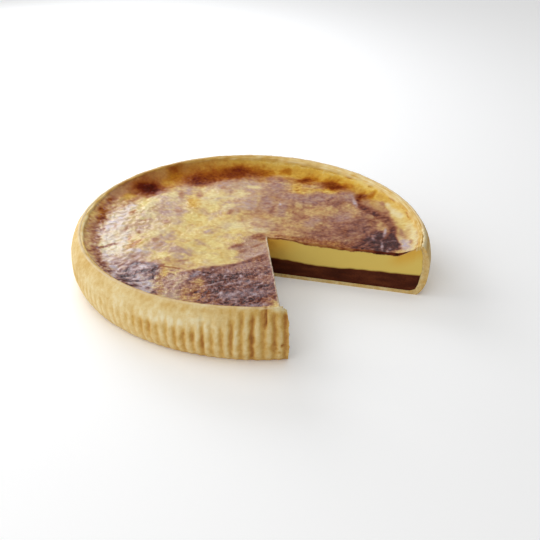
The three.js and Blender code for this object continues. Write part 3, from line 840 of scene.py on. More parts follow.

# The browned marks of the skin, painted in this order. Each group gives browning, caramel, painted sheen (a
# lilac-white tint that stands in for reflections on the glossy skin) and how soft its edges are, then for
# each mark the place of its middle, its half length and half width, and the angle of its length. The group
# without marks stands for the edge band, which is painted at that point. Groups high in painted sheen are
# painted reflections.
SKIN_MARKS = (
    ("hazy left side", 0.2, 0.1, 0.2, 0.6, (
        (-103, 0, 50, 13, 95),
        (-72, 32, 34, 18, 80),
    )),
    ("brown field", 0.52, 0.14, 0.06, 0.5, (
        (62, 42, 62, 56, 0),
        (58, 0, 50, 17, -12),
    )),
    ("half-browned border", 0.38, 0.12, 0.2, 0.7, (
        (-4, 48, 40, 12, 88),
        (-18, 84, 28, 13, 8),
        (13, 22, 14, 12, 60),
        (-52, 83, 16, 7, 15),
    )),
    ("brown beside the near cut", 0.46, 0.06, 0.24, 0.5, (
        (2, -16, 13, 9, 75),
        (1, -32, 14, 11, 60),
        (-12, -24, 9, 4, 25),
    )),
    ("front field", 0.76, 0.06, 0.1, 0.2, (
        (-18, -84, 46, 35, 4),
        (6, -56, 24, 24, 80),
    )),
    ("paler back of the front field", 0.54, 0.1, 0.2, 0.9, (
        (4, -48, 14, 9, 30),
        (-14, -60, 12, 4, 20),
        (12, -66, 8, 5, 80),
    )),
    ("paler west of the front field", 0.54, 0.12, 0.2, 0.6, (
        (-53, -76, 12, 6, 100),
        (-52, -97, 14, 7, 88),
    )),
    ("greyed left front", 0.58, 0.02, 0.32, 0.4, (
        (-82, -82, 30, 15, 98),
        (-94, -62, 12, 8, 60),
        (-78, -58, 12, 7, 10),
    )),
    ("border of the left front", 0.5, 0.04, 0.26, 0.7, (
        (-98, -52, 11, 8, 60),
        (-86, -46, 13, 6, 5),
        (-67, -60, 8, 3, 80),
    )),
    ("edge band", 0, 0, 0, 0, ()),
    ("mauve places", 0.42, 0.02, 0.4, 0.85, (
        (-111, -2, 8, 4, 95),
        (-104, 8, 5, 3, 60),
        (-67, 33, 14, 9, 78),
        (-71, 48, 7, 5, 0),
        (-52, 71, 9, 5.5, 60),
        (-76, 66, 7, 4, 50),
        (-25, 84, 12, 6, 80),
        (-5, 82, 14, 8, 80),
        (-4, 46, 15, 8, 85),
        (-20, 48, 8, 5, 60),
        (-84, 2, 10, 6, 70),
        (-67, -24, 12, 8, 65),
        (-53, -38, 11, 7.5, 60),
        (-46, -52, 7, 4, 20),
        (-63, -8, 7, 4, 60),
        (-87, -46, 12, 6, 10),
        (-33, 0, 6, 4, 60),
        (-28, 32, 7, 4, 70),
        (0, -36, 9, 6, 20),
        (-46, 10, 6, 3, 70),
    )),
    # Painted reflections on the flat skin of the left side
    ("lilac-white places", 0.24, 0, 0.68, 0.7, (
        (-96, 34, 8, 4, 85),
        (-102, 18, 12, 5, 90),
        (-106, 5, 9, 6, 90),
        (-105, -45, 8, 4, 100),
        (-84, -36, 8, 5, 10),
        (-108, -14, 8, 4, 95),
    )),
    ("cream places", 0.05, 0.12, 0.12, 0.7, (
        (-86, 33, 10, 4, 70),
        (-34, 60, 12, 9, 80),
        (-44, 78, 5, 5, 0),
        (-64, 60, 8, 4, 90),
        (-68, -3, 5, 5, 0),
        (-14, 12, 9, 7, 30),
        (4, 4, 6, 5, 0),
        (-11, 68, 6, 6, 0),
        (-27, -44, 12, 4, 10),
        (-78, 50, 8, 4, 80),
        (-2, 81, 7, 3, 10),
        (-79, 20, 7, 5, 60),
        (-20, 41, 8, 5, 60),
        (-20, 61, 7, 4, 20),
    )),
    # Painted reflections, white, on the left side
    ("white places of the left side", 0.05, 0.04, 0.5, 0.7, (
        (-106, -18, 11, 5, 95),
        (-95, -26, 12, 4, 85),
        (-102, -38, 7, 4, 0),
        (-95, -8, 8, 3, 80),
    )),
    ("yellow places", 0.07, 0.55, 0, 0.7, (
        (-50, 22, 8, 4, 84),
        (-86, 44, 9, 3, 68),
        (-40, 20, 18, 9, 75),
        (-46, -16, 12, 6, 80),
        (-28, -26, 16, 10, 60),
        (-30, -45, 14, 6, 10),
        (-18, -6, 12, 7, 60),
        (-66, -43, 7, 5, 5),
        (-10, 28, 6, 4, 60),
        (113, 26, 20, 4, 97),
    )),
    ("pale right edge", 0.04, 0.2, 0.2, 0.6, (
        (93, 71, 4, 2, 60),
        (105, 52, 5, 2, 110),
        (109, 42, 5, 2, 100),
        (121, -4, 20, 4, 94),
        (115, -14, 13, 4, 97),
        (112, 36, 7, 2.4, 105),
    )),
    ("golden patches", 0.26, 0.8, 0, 0.65, (
        (-48, 48, 12, 4.5, 92),
        (-100, 52, 9, 4, 60),
        (36, 82, 12, 6, 92),
        (56, 77, 15, 5, -6),
        (62, 82, 6, 4, 20),
        (102, 63, 8, 5, 115),
        (96, 55, 6, 3, 110),
        (-62, -68, 7, 2, 95),
        (93, 66, 5, 3, 95),
        (82, 80, 10, 5, -40),
        (-70, 84, 7, 4, 60),
    )),
    ("tan patches", 0.33, 0.26, 0.04, 0.6, (
        (117, 3, 7, 2.4, 80),
        (-104, 40, 8, 4, 80),
        (-5, 30, 9, 7, 60),
        (12, 25, 6, 5, 60),
        (27, 14, 7, 4, 60),
        (5, 52, 6, 3, 90),
        (27, 36, 8, 3, 85),
        (46, 52, 10, 3, 10),
        (62, 44, 5, 3, 60),
        (-60, -50, 9, 5, 15),
        (-46, -55, 9, 4, 12),
        (52, 41, 12, 9, 15),
        (75, 50, 8, 5, 85),
        (33, 4, 12, 4, 62),
        (22, 22, 9, 7, 60),
        (34, 48, 8, 3, 90),
        (8, 30, 5, 6, 0),
        (97, 17, 9, 4, 88),
        (98, 52, 8, 4, 105),
        (15, -4, 6, 3, -10),
        (32, 0, 14, 4, -6),
        (78, 36, 9, 4, 80),
        (42, 21, 10, 5, 40),
        (40, 13, 12, 5, 20),
    )),
    ("browned inside of the band", 0.5, 0.7, 0, 0.8, (
        (18, 99, 16, 5, 2),
        (42, 94, 8, 4, -20),
    )),
    ("brown line inside the left band", 0.6, 0.12, 0.02, 0.8, (
        (-119, 0, 12, 2.4, 93),
        (-116, -20, 12, 2.4, 97),
        (-113, -38, 10, 2.8, 102),
        (-108, -54, 10, 3, 110),
        (-101, -68, 9, 3, 118),
        (-112, 40, 9, 2.4, 72),
    )),
    ("mauve parts of the field", 0.55, 0.02, 0.24, 0.7, (
        (17, 84, 16, 9, 88),
        (50, 62, 20, 9, 8),
        (10, 52, 14, 5, 88),
        (22, 45, 12, 4, 88),
        (76, 66, 8, 5, 90),
        (68, 30, 14, 8, 70),
        (30, 66, 9, 6, 0),
        (45, 22, 10, 5, 60),
    )),
    ("greyish part of the field", 0.7, 0, 0.16, 0.9, (
        (71, 13, 10, 9, 70),
        (84, 20, 8, 4, 80),
    )),
    ("darker parts of the field", 0.66, 0.08, 0.08, 0.7, (
        (72, 16, 18, 11, 15),
        (56, -1, 22, 7, -12),
        (84, 12, 10, 8, 70),
        (62, 58, 12, 5, 15),
        (14, 39, 6, 3, 70),
        (86, 38, 8, 4, 110),
    )),
    ("brown mottles", 0.5, 0.14, 0.08, 0.75, (
        (-59, 33, 3, 2.6, 0),
        (-58, 64, 6.5, 2.2, 92),
        (-44, 65, 7, 2.2, 88),
        (-25, 78, 3, 2.4, 90),
        (-66, 12, 4, 2.6, 80),
        (-88, 8, 7, 2, 22),
        (-82, 15, 4, 1.2, 20),
        (-95, 0, 5, 1.6, 70),
        (-112, -2, 3, 1.4, 95),
        (-104, 2, 3, 1.2, 95),
        (-86, -5, 4, 1.6, 95),
        (-72, -19, 4, 2.2, 70),
        (-68, -26, 4, 2, 60),
        (-50, -48, 5, 1.8, 25),
        (-61, -47, 3, 1.8, 100),
        (4, 38, 6, 3, 90),
        (-18, 33, 4, 2, 60),
        (-91, -58, 6, 3, 60),
        (118, -11, 5, 1.4, 95),
        (113, 6, 6, 1.6, 95),
        (101, 55, 4, 2, 95),
    )),
    ("red-brown skin beside the far cut", 0.6, 0.46, 0, 0.9, (
        (4, -7, 6, 3, 45),
        (8, -12, 3, 4, 90),
        (28, -7, 12, 2, -11.5),
        (46, -11, 13, 3.4, -11.5),
        (62, -14.5, 13, 3.6, -11.5),
        (80, -18, 12, 3, -11.5),
    )),
    ("red-brown marks", 0.62, 0.3, 0.04, 0.9, (
        (-12, -22, 6, 1.8, 35),
        (-8, -29, 4, 1.8, 30),
        (4, -7, 5, 2.6, 50),
        (3, -21, 5, 1.2, 30),
        (5, -39, 8, 1.8, 25),
        (90, 24, 8, 4, 85),
        (68, 8, 5, 3, 80),
        (5, -43, 9, 2.6, 14),
        (-104, -65, 7, 3.4, 108),
        (0, -72, 8, 4, 20),
        (103, 34, 8, 4, 95),
        (104, 16, 10, 3.6, 90),
        (0, 104, 5, 4, 0),
        (-116, -38, 6, 2.6, 95),
    )),
    ("chain of dark spots", 0.76, 0.42, 0.04, 0.7, (
        (83, 58, 8, 3.4, 102),
        (88, 48, 7, 3.6, 115),
        (95, 38, 8, 5, 118),
        (102, 28, 7, 3.4, 95),
        (106, 8, 12, 3, 90),
        (5, -57, 9, 2, 18),
        (10, -65, 5, 3, 70),
    )),
    ("beside the blackened edge", 0.84, 0.05, 0.04, 0.8, (
        (88, -10, 10, 8, 20),
        (84, -18, 12, 4, -12),
    )),
    ("blackened right edge", 0.95, 0.02, 0.05, 0.6, (
        (93, 1, 8, 6, 60),
        (97, -7, 12, 9, -30),
        (100, -17, 11, 8, 0),
        (106, -8, 12, 3.6, 92),
    )),
    ("dark places of the front", 0.88, 0.06, 0, 0.9, (
        (-16, -68, 11, 5, 0),
        (-34, -67, 7, 3, 30),
        (-24, -78, 12, 4, 25),
        (-22, -89, 8, 4, 30),
        (-6, -102, 17, 5, 10),
        (-22, -107, 7, 3, 0),
        (2, -82, 8, 3, 30),
    )),
    ("darker parts of the left front", 0.86, 0.02, 0.14, 0.8, (
        (-88, -80, 10, 6, 80),
        (-74, -65, 9, 6, 40),
        (-80, -56, 9, 4, 10),
        (-86, -70, 8, 4, 30),
        (-84, -96, 8, 3, 60),
    )),
    # Painted reflections on the blackened left front
    ("lilac parts of the left front", 0.14, 0, 0.88, 0.7, (
        (-75, -88, 14, 6.5, 95),
        (-69, -94, 12, 3, 93),
        (-80, -71, 3.4, 1.6, 20),
        (-96, -77, 6, 1.8, 110),
        (-80, -104, 6, 3, 120),
        (-78, -60, 4, 2.4, 60),
    )),
    ("dark folds of the left front", 0.93, 0.04, 0.02, 0.7, (
        (-90, -65, 5, 1.7, 30),
        (-87.5, -73.5, 7, 2.6, 16),
        (-83, -70.5, 4, 2, 25),
        (-91, -84, 7, 2.6, 20),
        (-83, -91, 6, 2.2, 20),
        (-79, -82, 4, 1.8, 10),
        (-72, -64, 7.5, 2.6, 52),
        (-70, -74, 6, 2.2, 62),
        (-77, -89, 2.2, 1.7, 0),
        (-71, -91, 3, 2.2, 60),
        (-87, -95, 6, 1.9, 30),
        (-67.5, -101, 7, 1.3, 80),
        (-84, -103, 5, 1.8, 120),
    )),
    ("amber ground of the front", 0.42, 0.44, 0.06, 0.8, (
        (-38, -80, 5, 4, 80),
        (-39, -98, 12, 8, 90),
        (-33, -108, 10, 4.6, 10),
        (-63, -86, 14, 1.8, 93),
    )),
    ("golden spots of the front", 0.38, 0.42, 0.03, 0.9, (
        (-36, -80, 4, 2.6, 88),
        (-46, -98, 10, 2, 90),
        (-38, -100, 3, 1.4, 60),
        (-40, -110, 4, 2, 0),
    )),
    ("pinkish west of the front field", 0.32, 0.1, 0.28, 0.7, (
        (-53, -104, 13, 4.4, 88),
        (-56, -76, 8, 4, 60),
        (-47, -74, 5, 3, 60),
        (-59, -98, 14, 1.6, 92),
        (-51, -82, 6, 2, 70),
    )),
    ("dark red spots", 0.8, 0.45, 0, 0.7, (
        (3, -101, 8, 3, 25),
        (10, -97, 5, 2, 30),
        (-33, -96, 4.6, 2.6, 60),
        (-37, -92, 3, 1.6, 50),
        (-36, -104, 3, 1.4, 60),
        (-42, -96, 2.4, 1.2, 40),
        (-29, -90, 5, 1.8, 50),
        (-33, -109, 4, 1.6, 20),
        (-30, -105, 5, 2, 30),
        (-25, -98, 4, 2, 60),
        (-65, -103, 8, 1.2, 93),
    )),
    ("cool sheens", 0.4, 0, 0.8, 0.8, (
        (-75, -84, 6, 2, 60),
        (-97, -64, 7, 2.4, 110),
        (80, 60, 7, 1.5, 98),
        (114, -15, 11, 3, 95),
        (96, -16, 6, 0.8, 85),
        (99.5, 6, 5, 0.9, 80),
        (101, -21, 3, 1, 60),
        (20.5, 51, 3, 0.7, 85),
        (113, -12, 5, 1.6, 95),
    )),
    ("faint sheens of the front", 0.76, 0.02, 0.4, 0.9, (
        (-10, -92, 14, 4, 25),
        (-18, -62, 4, 2, 80),
        (4, -92, 7, 3, 20),
        (4, -108, 8, 2, 10),
        (-40, -70, 6, 2, 60),
        (-6, -76, 10, 2, 20),
    )),
    ("olive marks of the left side", 0.44, 0.95, 0, 0.9, (
        (-86, -25, 4.6, 3, 30),
        (-90, -30, 4, 2.4, 50),
        (-91.5, -17, 5, 1.2, 98),
        (-83, -21, 2.4, 1.2, 30),
    )),
    ("amber corner", 0.66, 0.5, 0.02, 0.8, (
        (12, -100, 7, 4, 60),
    )),
    ("cream corner", 0.12, 0.35, 0.04, 0.7, (
        (18, -108, 5, 3, 100),
        (12, -111, 6, 1.6, 0),
    )),
    ("amber marks", 0.5, 0.97, 0, 0.6, (
        (-93, 26, 4, 2, 60),
        (-66, 94, 9, 7, 70),
        (25, 113, 6, 4, 0),
        (8, 108, 7, 5, 0),
        (94, 71, 5, 3, 60),
    )),
    # Painted light and shade of the fold and the crease: a painted highlight along the fold's ridge and
    # beside the crease, and the painted shadows of the crease and the fold
    ("pale ridge of the fold", 0.26, 0.2, 0.12, 0.6, (
        (-53, -62.5, 8, 1.5, -12),
        (-37, -59, 8, 1.6, 27),
        (-22, -53.4, 7, 1.1, 18),
    )),
    ("white beside the crease", 0, 0, 0.4, 0.6, (
        (-109, -25, 9, 2.4, 38),
        (-104, -33, 8, 3, 38),
    )),
    ("shadow of the crease", 0.7, 0.36, 0.02, 0.6, (
        (-107, -29.6, 8, 1.5, 38),
    )),
    ("shadow of the fold", 0.62, 0.6, 0, 0.4, (
        (-57, -60, 8, 1.2, -6),
        (-64, -58, 4, 1.3, 60),
    )),
    ("scorched halos", 0.6, 0.97, 0, 0.9, (
        (-31, 99, 12, 9, 10),
        (-88, 75, 15, 10, 55),
        (-44, 96, 15, 12, 15),
        (-13, 107, 19, 11, 8),
        (-66, 104, 6, 5, 30),
        (42, 101, 7, 6, 0),
        (65, 89, 13, 8, -28),
        (-115, 20, 13, 3.4, 95),
        (86, 69, 7, 5, 80),
    )),
    ("scorches", 0.78, 0.97, 0, 0.9, (
        (-44, 92, 12, 8, 30),
        (-14, 107, 14, 7, 6),
        (42, 101, 4, 3, 0),
        (63, 90, 8, 5.4, -30),
        (-85, 71, 11, 9, 60),
        (86, 69, 4, 3.2, 80),
    )),
    ("scorches of the left band", 0.68, 0.9, 0, 0.8, (
        (-115, 13, 5, 3.4, 95),
        (-117, 26, 4, 2.4, 80),
        (-113, 44, 3, 1.6, 60),
    )),
    ("blackest scorch", 0.93, 0.95, 0, 0.8, (
        (-84, 73, 8, 5.6, 55),
    )),
)

# A fold runs across the front, with yellow skin behind it and dark skin before it
FRONT_FOLD_X = (-70, -64, -52, -45, -40, -32, -25, -15, -8, 0, 8, 14)
FRONT_FOLD_Y = (-58, -59, -61, -64, -61, -56, -54, -51, -48, -40, -34, -31)
WRINKLE_TURN = math.radians(38)
LEFT_WRINKLE_TURN = math.radians(48)
RIDGE_TURN = math.radians(46)
LEFT_RIDGE_TURN = math.radians(80)
# Marks with this much painted sheen or more are speckled
SPECKLED_FROM_SHEEN = 0.4


def from_edge(x, y):
    """How far in from the wall each point is, and how high the custard's edge is there."""
    direction = np.arctan2(y - CUT_TIP[1], x - CUT_TIP[0])
    share = 1 - EDGE_BELOW_RIM / RIM_HEIGHT
    edge = side_point(direction, INSIDE_RADII[-1] + EDGE_OVER_CREST, share)
    along = np.hypot(edge[:, 0] - CUT_TIP[0], edge[:, 1] - CUT_TIP[1])
    return along - np.hypot(x - CUT_TIP[0], y - CUT_TIP[1]), edge[:, 2]


def front_fold(x, y):
    """How far each point lies behind the fold, less than 0 before it."""
    line = np.interp(x, FRONT_FOLD_X, FRONT_FOLD_Y)
    return (y - line) * 0.9


def turned(flat, turn):
    """Flat points as seen from a line at this angle: how far along it and how far across it."""
    return flat @ np.array(((math.cos(turn), -math.sin(turn)), (math.sin(turn), math.cos(turn))))


def shifts(flat, amount, size, seeds):
    """Soft random shifts of flat points."""
    return amount * np.column_stack([bumps(flat, size, seed) for seed in seeds])


def wrinkles(x, y):
    """The skin's wrinkles, from about -1 to 1: long soft ridges with finer ones across them."""
    flat = np.column_stack([x, y])
    swayed = flat + shifts(flat, 2.4, 13, (61, 62))
    left = smoothstep(-x, 30, 75)
    total = 0 * x
    for turn, size, weight, seed in ((WRINKLE_TURN, 1, 1 - left, 63), (LEFT_WRINKLE_TURN, 1.3, left, 64)):
        place = turned(swayed, turn) / size
        total += weight * (0.5 * bumps(place, (9, 4.6), seed) + 0.7 * bumps(place, (4, 2.7), seed + 4))
    return total


def fine_ridges(x, y):
    """Narrow ridges of the dark skin, from -1 to 1. They slant at the front and run outwards at the left."""
    flat = np.column_stack([x, y])
    swayed = flat + shifts(flat, 2.8, 9, (57, 58)) + shifts(flat, 1.3, 3.6, (55, 59))
    left = smoothstep(-x, 58, 68)
    total = 0 * x
    for turn, length, weight, seed in ((RIDGE_TURN, 6.5, 1 - left, 60), (LEFT_RIDGE_TURN, 9, left, 59)):
        place = turned(swayed, turn)
        total += weight * (0.75 * bumps(place, (length, 3.6), seed) + 0.6 * bumps(place, (4, 2), seed + 40))
    return total


def skin_level(x, y):
    """The skin without its wrinkles: level but for its swells, climbing near the wall."""
    distance, edge_height = from_edge(x, y)
    climb = np.clip(1 - distance / EDGE_CLIMB_WIDTH, 0, 1) ** EDGE_CLIMB_CURVE
    return blend(CUSTARD_LEVEL + swell_at(SKIN_SWELLS, x, y), edge_height, climb)


def angle_round(x, y):
    """The angle of each point round the tart's middle, from just before the far cut on."""
    return (np.degrees(np.arctan2(y, x)) + 20) % 360 - 20


def crust_ring(x, y):
    """How wide the crust's inner edge shows round the skin."""
    angles, widths, _ = zip(*CRUST_EDGE)
    unevenness = 1 + 0.35 * bumps(np.column_stack([x, y]), 11, 90)
    return np.interp(angle_round(x, y), angles, widths) * unevenness


def in_crust_ring(x, y):
    return 1 - smoothstep(from_edge(x, y)[0] - crust_ring(x, y), -0.5, 0.5)


def rim_streaks(x, y):
    """Fine lines that run along the rim."""
    along = np.arctan2(y, x) * CASE_RADIUS / 14
    return bumps(np.column_stack([along, from_edge(x, y)[0] / 0.9]), 1, 91)


def beside_near_cut(x, y):
    """1 behind the fold along the near cut, where the skin is lumpy and coarse."""
    return smoothstep(x, -22, -8) * (1 - smoothstep(y, -8, 0))


def skin_height(x, y):
    """The height of the skin with its relief, and of the crust's inner edge round it."""
    distance, edge_height = from_edge(x, y)
    flat = np.column_stack([x, y])
    behind = front_fold(x, y)
    before = smoothstep(-behind, 0, 10)
    wrinkled = 0.17 + 0.08 * bumps(flat, 30, 65) + 0.2 * before + 0.46 * smoothstep(-x, 62, 90)
    lumpy = before + 0.6 * smoothstep(-x, 50, 85) + 0.45 * smoothstep(x, -10, 30)
    lumpy += 0.6 * beside_near_cut(x, y) * smoothstep(behind, 0, 3)
    lumpy *= smoothstep(distance, 3, 14)
    lumpy *= 1 - 0.45 * between(-behind, (0, 4), (8, 24)) * smoothstep(x, -55, -45)
    relief = wrinkled * wrinkles(x, y) + 0.42 * lumpy * fine_ridges(x, y)
    relief += layered(flat, ((0.16, 2.4, 66), (0.07, 1.5, 67)))
    relief += 0.14 * smoothstep(-behind, -4, 4) * smoothstep(distance, 3, 9) * bumps(flat, 2.2, 54)
    fold = 0.5 * hump(behind, 0, 1.6) - 0.35 * smoothstep(-behind, 0.5, 3)
    relief += between(x, (-72, -60), (4, 14)) * fold
    left_band = smoothstep(-x, 92, 108) * (1 - smoothstep(-y, 50, 62))
    relief *= smoothstep(distance, 1.5 + 5 * left_band, 6 + 8 * left_band)
    relief += left_band * (1 - smoothstep(distance, 8, 13)) * layered(flat, ((0.2, 3, 70), (0.14, 1.8, 68)))
    ground = skin_level(x, y)
    gap = (0.2 + 0.3 * bumps(flat, 9, 92)) * hump(distance, crust_ring(x, y) + 0.5, 0.5)
    gap *= 1 - smoothstep(angle_round(x, y), 70, 100)
    crust = blend(ground + 0.25, edge_height, 0.35) + 0.1 * bumps(flat, 2.4, 69)
    crust += 0.2 * smoothstep(distance, 0, 0.6) + 0.16 * rim_streaks(x, y)
    return blend(ground + relief - gap, crust, in_crust_ring(x, y))


vanilla_rows = [
    layer_edge + (0, 0, SEAM),
    beside_wall(custard_directions, INSIDE_SHARES[1]),
    beside_wall(custard_directions, INSIDE_SHARES[2]),
    beside_wall(custard_directions, 1 - 1.3 / RIM_HEIGHT),
    side_point(custard_directions, INSIDE_RADII[-1] + EDGE_OVER_CREST, 1 - EDGE_BELOW_RIM / RIM_HEIGHT),
]


def lines_along_edges():
    """Rows of points just inside the wall and just beside the cuts, where the skin changes fastest."""
    rim = vanilla_rows[-1][:, :2] - CUT_TIP
    length = np.linalg.norm(rim, axis=1)[:, None]
    rows = [(CUT_TIP + rim * (1 - inset / length))[2:-2] for inset in (0.6, 1.2, 1.8, 2.4, 3, 3.6, 4.2, 4.9)]
    for direction, inward, end in ((FAR_CUT, 90, length[0, 0]), (NEAR_CUT, -90, length[-1, 0])):
        along = np.arange(0.4, end - 5, 0.75)[:, None] * heading(direction)
        for aside in (0.4, 0.85, 1.4):
            rows.append(CUT_TIP + along + aside * heading(direction + math.radians(inward)))
    return np.vstack(rows)


vanilla_points, vanilla_faces, vanilla_sheets = wedge_cut_layer(
    np.array(vanilla_rows),
    lambda x, y: chocolate_height(x, y) + SEAM,
    skin_height,
    {"underside": 9, "top": 0.92, "cut": 0.62},
    custard_cut,
    seed=13,
    top_lines=lines_along_edges(),
    skin_depths=(0.35, 0.75, 1.15, 1.6),
)
vanilla_layer = make_piece("vanilla_layer", vanilla_points, vanilla_faces)
on_cut = np.isin(vanilla_sheets, CUT_SHEETS)
push_out(vanilla_layer, on_cut * layered(vanilla_points, ((0.12, 6, 68), (0.05, 2, 69))))


def edge_band(x, y, shift):
    """The edge band's browning, caramel and painted sheen at each point, and how far they cover the skin."""
    angle = angle_round(x, y)
    angles, *columns = zip(*EDGE_BAND)
    width, browning, caramel, painted_sheen = (np.interp(angle, angles, column) for column in columns)
    distance = from_edge(x, y)[0] + shift
    beside_rim = 1 - smoothstep(distance, 4, 9)
    pale_back = between(angle, (25, 45), (90, 108)) * beside_rim
    # Painted light beside the rim on the left, paler and more golden, offsets the shadow that the rim casts
    # there
    painted_light_left = between(angle, (155, 168), (205, 218)) * beside_rim
    browning = browning - 0.16 * pale_back - 0.1 * painted_light_left - 0.14 * between(angle, (15, 60), (125, 150))
    caramel = caramel + 0.26 * painted_light_left
    return np.stack([browning, caramel, painted_sheen]), 1 - smoothstep(distance, width * 0.8, width * 1.12)


def laid_marks(x, y):
    """The browning, caramel and painted sheen at each point that the skin's marks and its edge band give."""
    flat = np.column_stack([x, y])
    sway = shifts(flat, 3.4, 15, (71, 72)) + shifts(flat, 2.4, 6, (73, 74))
    sway += shifts(flat, 1.2, 2.6, (75, 76))
    ragged = layered(flat, ((0.24, 5, 77), (0.12, 2.4, 78)))
    speckled = np.clip(0.8 + layered(flat, ((1.3, 4.6, 98), (0.5, 2.4, 99))), 0.15, 1)
    fold_softness = blend(0.8, 5, smoothstep(x, -14, 0))
    behind_fold = smoothstep(front_fold(x, y + 1.6 * bumps(flat, 5, 81)) / fold_softness, -1, 1)
    ends_at_fold = {"front field": 1 - behind_fold, "yellow places": behind_fold, "tan patches": behind_fold}
    levels = np.stack([0.13 + 0 * x, 0.4 + 0.3 * bumps(flat, 17, 80), 0.04 + 0 * x])
    for name, browning, caramel, painted_sheen, softness, marks in SKIN_MARKS:
        if name == "edge band":
            levels = blend(levels, *edge_band(x, y, 0.5 * sway[:, 0] + 3 * ragged))
        for mark_x, mark_y, half_length, half_width, angle in marks:
            away = flat + sway * min(1, half_width / 6) - (mark_x, mark_y)
            along, across = turned(away, math.radians(angle)).T
            edge = np.hypot(along / half_length, across / half_width) + ragged * (1.3 - softness)
            part = 0.92 * (1 - smoothstep(edge, 1 - softness, 1 + softness)) * ends_at_fold.get(name, 1)
            if painted_sheen >= SPECKLED_FROM_SHEEN:
                part = part * speckled
            levels = blend(levels, np.array((browning, caramel, painted_sheen))[:, None], part)
    return levels


def painted_skin(x, y):
    """The skin's browning, caramel and painted sheen: its marks, with mauve patches and mottles on them, and
    painted highlights and shade that follow its ridges, grains and wrinkles.
    """
    flat = np.column_stack([x, y])
    browning, caramel, painted_sheen = laid_marks(x, y)
    angle = angle_round(x, y)
    before_fold = -front_fold(x, y)
    in_band = 1 - smoothstep(from_edge(x, y)[0], 16, 30)
    # Mauve patches on the pale skin: browner, with painted sheen on them
    mauve_and_sheen = np.clip(layered(flat, ((1.2, 13, 94), (0.7, 6, 95))), 0, 1)
    mauve_and_sheen *= (1 - smoothstep(browning, 0.2, 0.4)) * (1 - in_band) * smoothstep(-x, -30, 10)
    browning = browning + 0.18 * mauve_and_sheen
    caramel = caramel * (1 - 0.7 * mauve_and_sheen)
    painted_sheen = painted_sheen + 0.2 * mauve_and_sheen

    right_end = smoothstep(x, 72, 84)
    dark_parts = np.maximum(smoothstep(before_fold, -8, 4), right_end)
    left_front = smoothstep(-x, 58, 66) * smoothstep(-y, 46, 56)
    blackened = np.maximum(smoothstep(browning, 0.5, 0.8) * dark_parts, 0.8 * left_front)
    wrinkled = wrinkles(x, y)
    ridges = fine_ridges(x, y)
    grains = bumps(flat, 2.2, 54) * smoothstep(before_fold, -4, 4)
    at_right = smoothstep(x, -10, 30) * (1 - in_band)
    at_left_rim = in_band * between(angle, (150, 165), (225, 240))
    mottles_and_relief_shade = layered(flat, ((0.08, 13, 82), (0.1, 5.5, 83), (0.12, 2.7, 79))) * (1 - 0.3 * blackened)
    # Painted shade in the hollows of the wrinkles and, at the right, of the ridges, and painted light on
    # their crests
    mottles_and_relief_shade -= (0.06 + 0.12 * smoothstep(-x, 68, 88)) * wrinkled
    mottles_and_relief_shade += at_right * (layered(flat, ((0.1, 1.9, 89), (0.06, 8, 87))) - 0.12 * ridges)
    mottles_and_relief_shade += at_left_rim * layered(flat, ((0.2, 4, 60), (0.16, 2, 57)))

    # Painted highlights of the relief: sheen and glints on the crests of the ridges and grains, pinkish
    # glints on the left band, more sheen on the wrinkles' crests, and the crests painted paler than the
    # hollows
    sheen = np.clip(1.4 * ridges - 0.15, 0, 1) * (1 - 0.5 * right_end)
    glints = 0.62 * sheen + 0.5 * np.clip(grains - 0.15, 0, 1)
    painted_sheen = painted_sheen + 0.7 * at_left_rim * np.clip(1.6 * bumps(flat, 2.6, 53) - 0.55, 0, 1)
    painted_sheen = painted_sheen + glints * blackened * (1 - 0.7 * caramel)
    painted_sheen = painted_sheen * (1 + 0.6 * bumps(flat, 4, 86) + 0.5 * wrinkled)
    browning = browning - (0.26 + 0.16 * left_front) * blackened * ridges - 0.2 * grains
    browning = browning + mottles_and_relief_shade * (1 - 0.6 * in_band * smoothstep(y, 20, 60))
    browning = np.where(blackened > 0.5, np.minimum(browning, 0.94), browning)
    caramel = caramel + 2 * caramel * (1 - caramel) * layered(flat, ((0.2, 9, 84), (0.12, 4, 85)))
    return browning, np.clip(caramel, 0, 1), np.clip(painted_sheen, 0, 1)


def from_cut(flat, direction):
    """How far each point lies from a cut, and far off where it lies behind the cut's tip."""
    away = flat - CUT_TIP
    distance = np.abs(away @ (-math.sin(direction), math.cos(direction)))
    return np.where(away @ heading(direction) < 0, CASE_RADIUS, distance)


flat = vanilla_points[:, :2]
x, y, z = vanilla_points.T
on_top = vanilla_sheets == "top"
below_skin = skin_height(x, y) - z
browning, caramel, painted_sheen = painted_skin(x, y)

# The browned skin in section, along the far cut
skin_thickness = 0.9 + 0.8 * smoothstep(x, 28, 46) + 0.5 * smoothstep(x, 74, 90) + 0.6 * bumps(flat, 6, 87)
skin_thickness *= 1 - smoothstep(x, 107, 117)
on_far_edge = from_cut(flat, FAR_CUT) < 0.3
below_section = below_skin - skin_thickness
in_skin = on_far_edge * (1 - smoothstep(below_section, -0.2, 0.6))
edge_browning = 0.56 + 0.12 * smoothstep(x, 60, 80) + 0.2 * smoothstep(x, 84, 97) + 0.35 * bumps(flat, 5, 56)
edge_browning += 0.16 * smoothstep(below_section, -0.6, -0.1)
browning = blend(browning, edge_browning, in_skin * 0.9)
caramel = blend(caramel, 0.55, in_skin * 0.9)
inside = smoothstep(below_skin - skin_thickness * on_far_edge, 0.1, 0.7) * (below_skin > 0.05)
inside[on_top] = 0

# The pale lip along the near cut, where the custard shows at the cut's edge, with painted sheen on it
lip = 1 - smoothstep(from_cut(flat, NEAR_CUT) + 0.7 * bumps(flat, 5, 88), 0.3, 1.3)
browning = blend(browning, 0.14, lip)
caramel = blend(caramel, 0, lip)
painted_sheen = blend(painted_sheen, 0.42, lip)

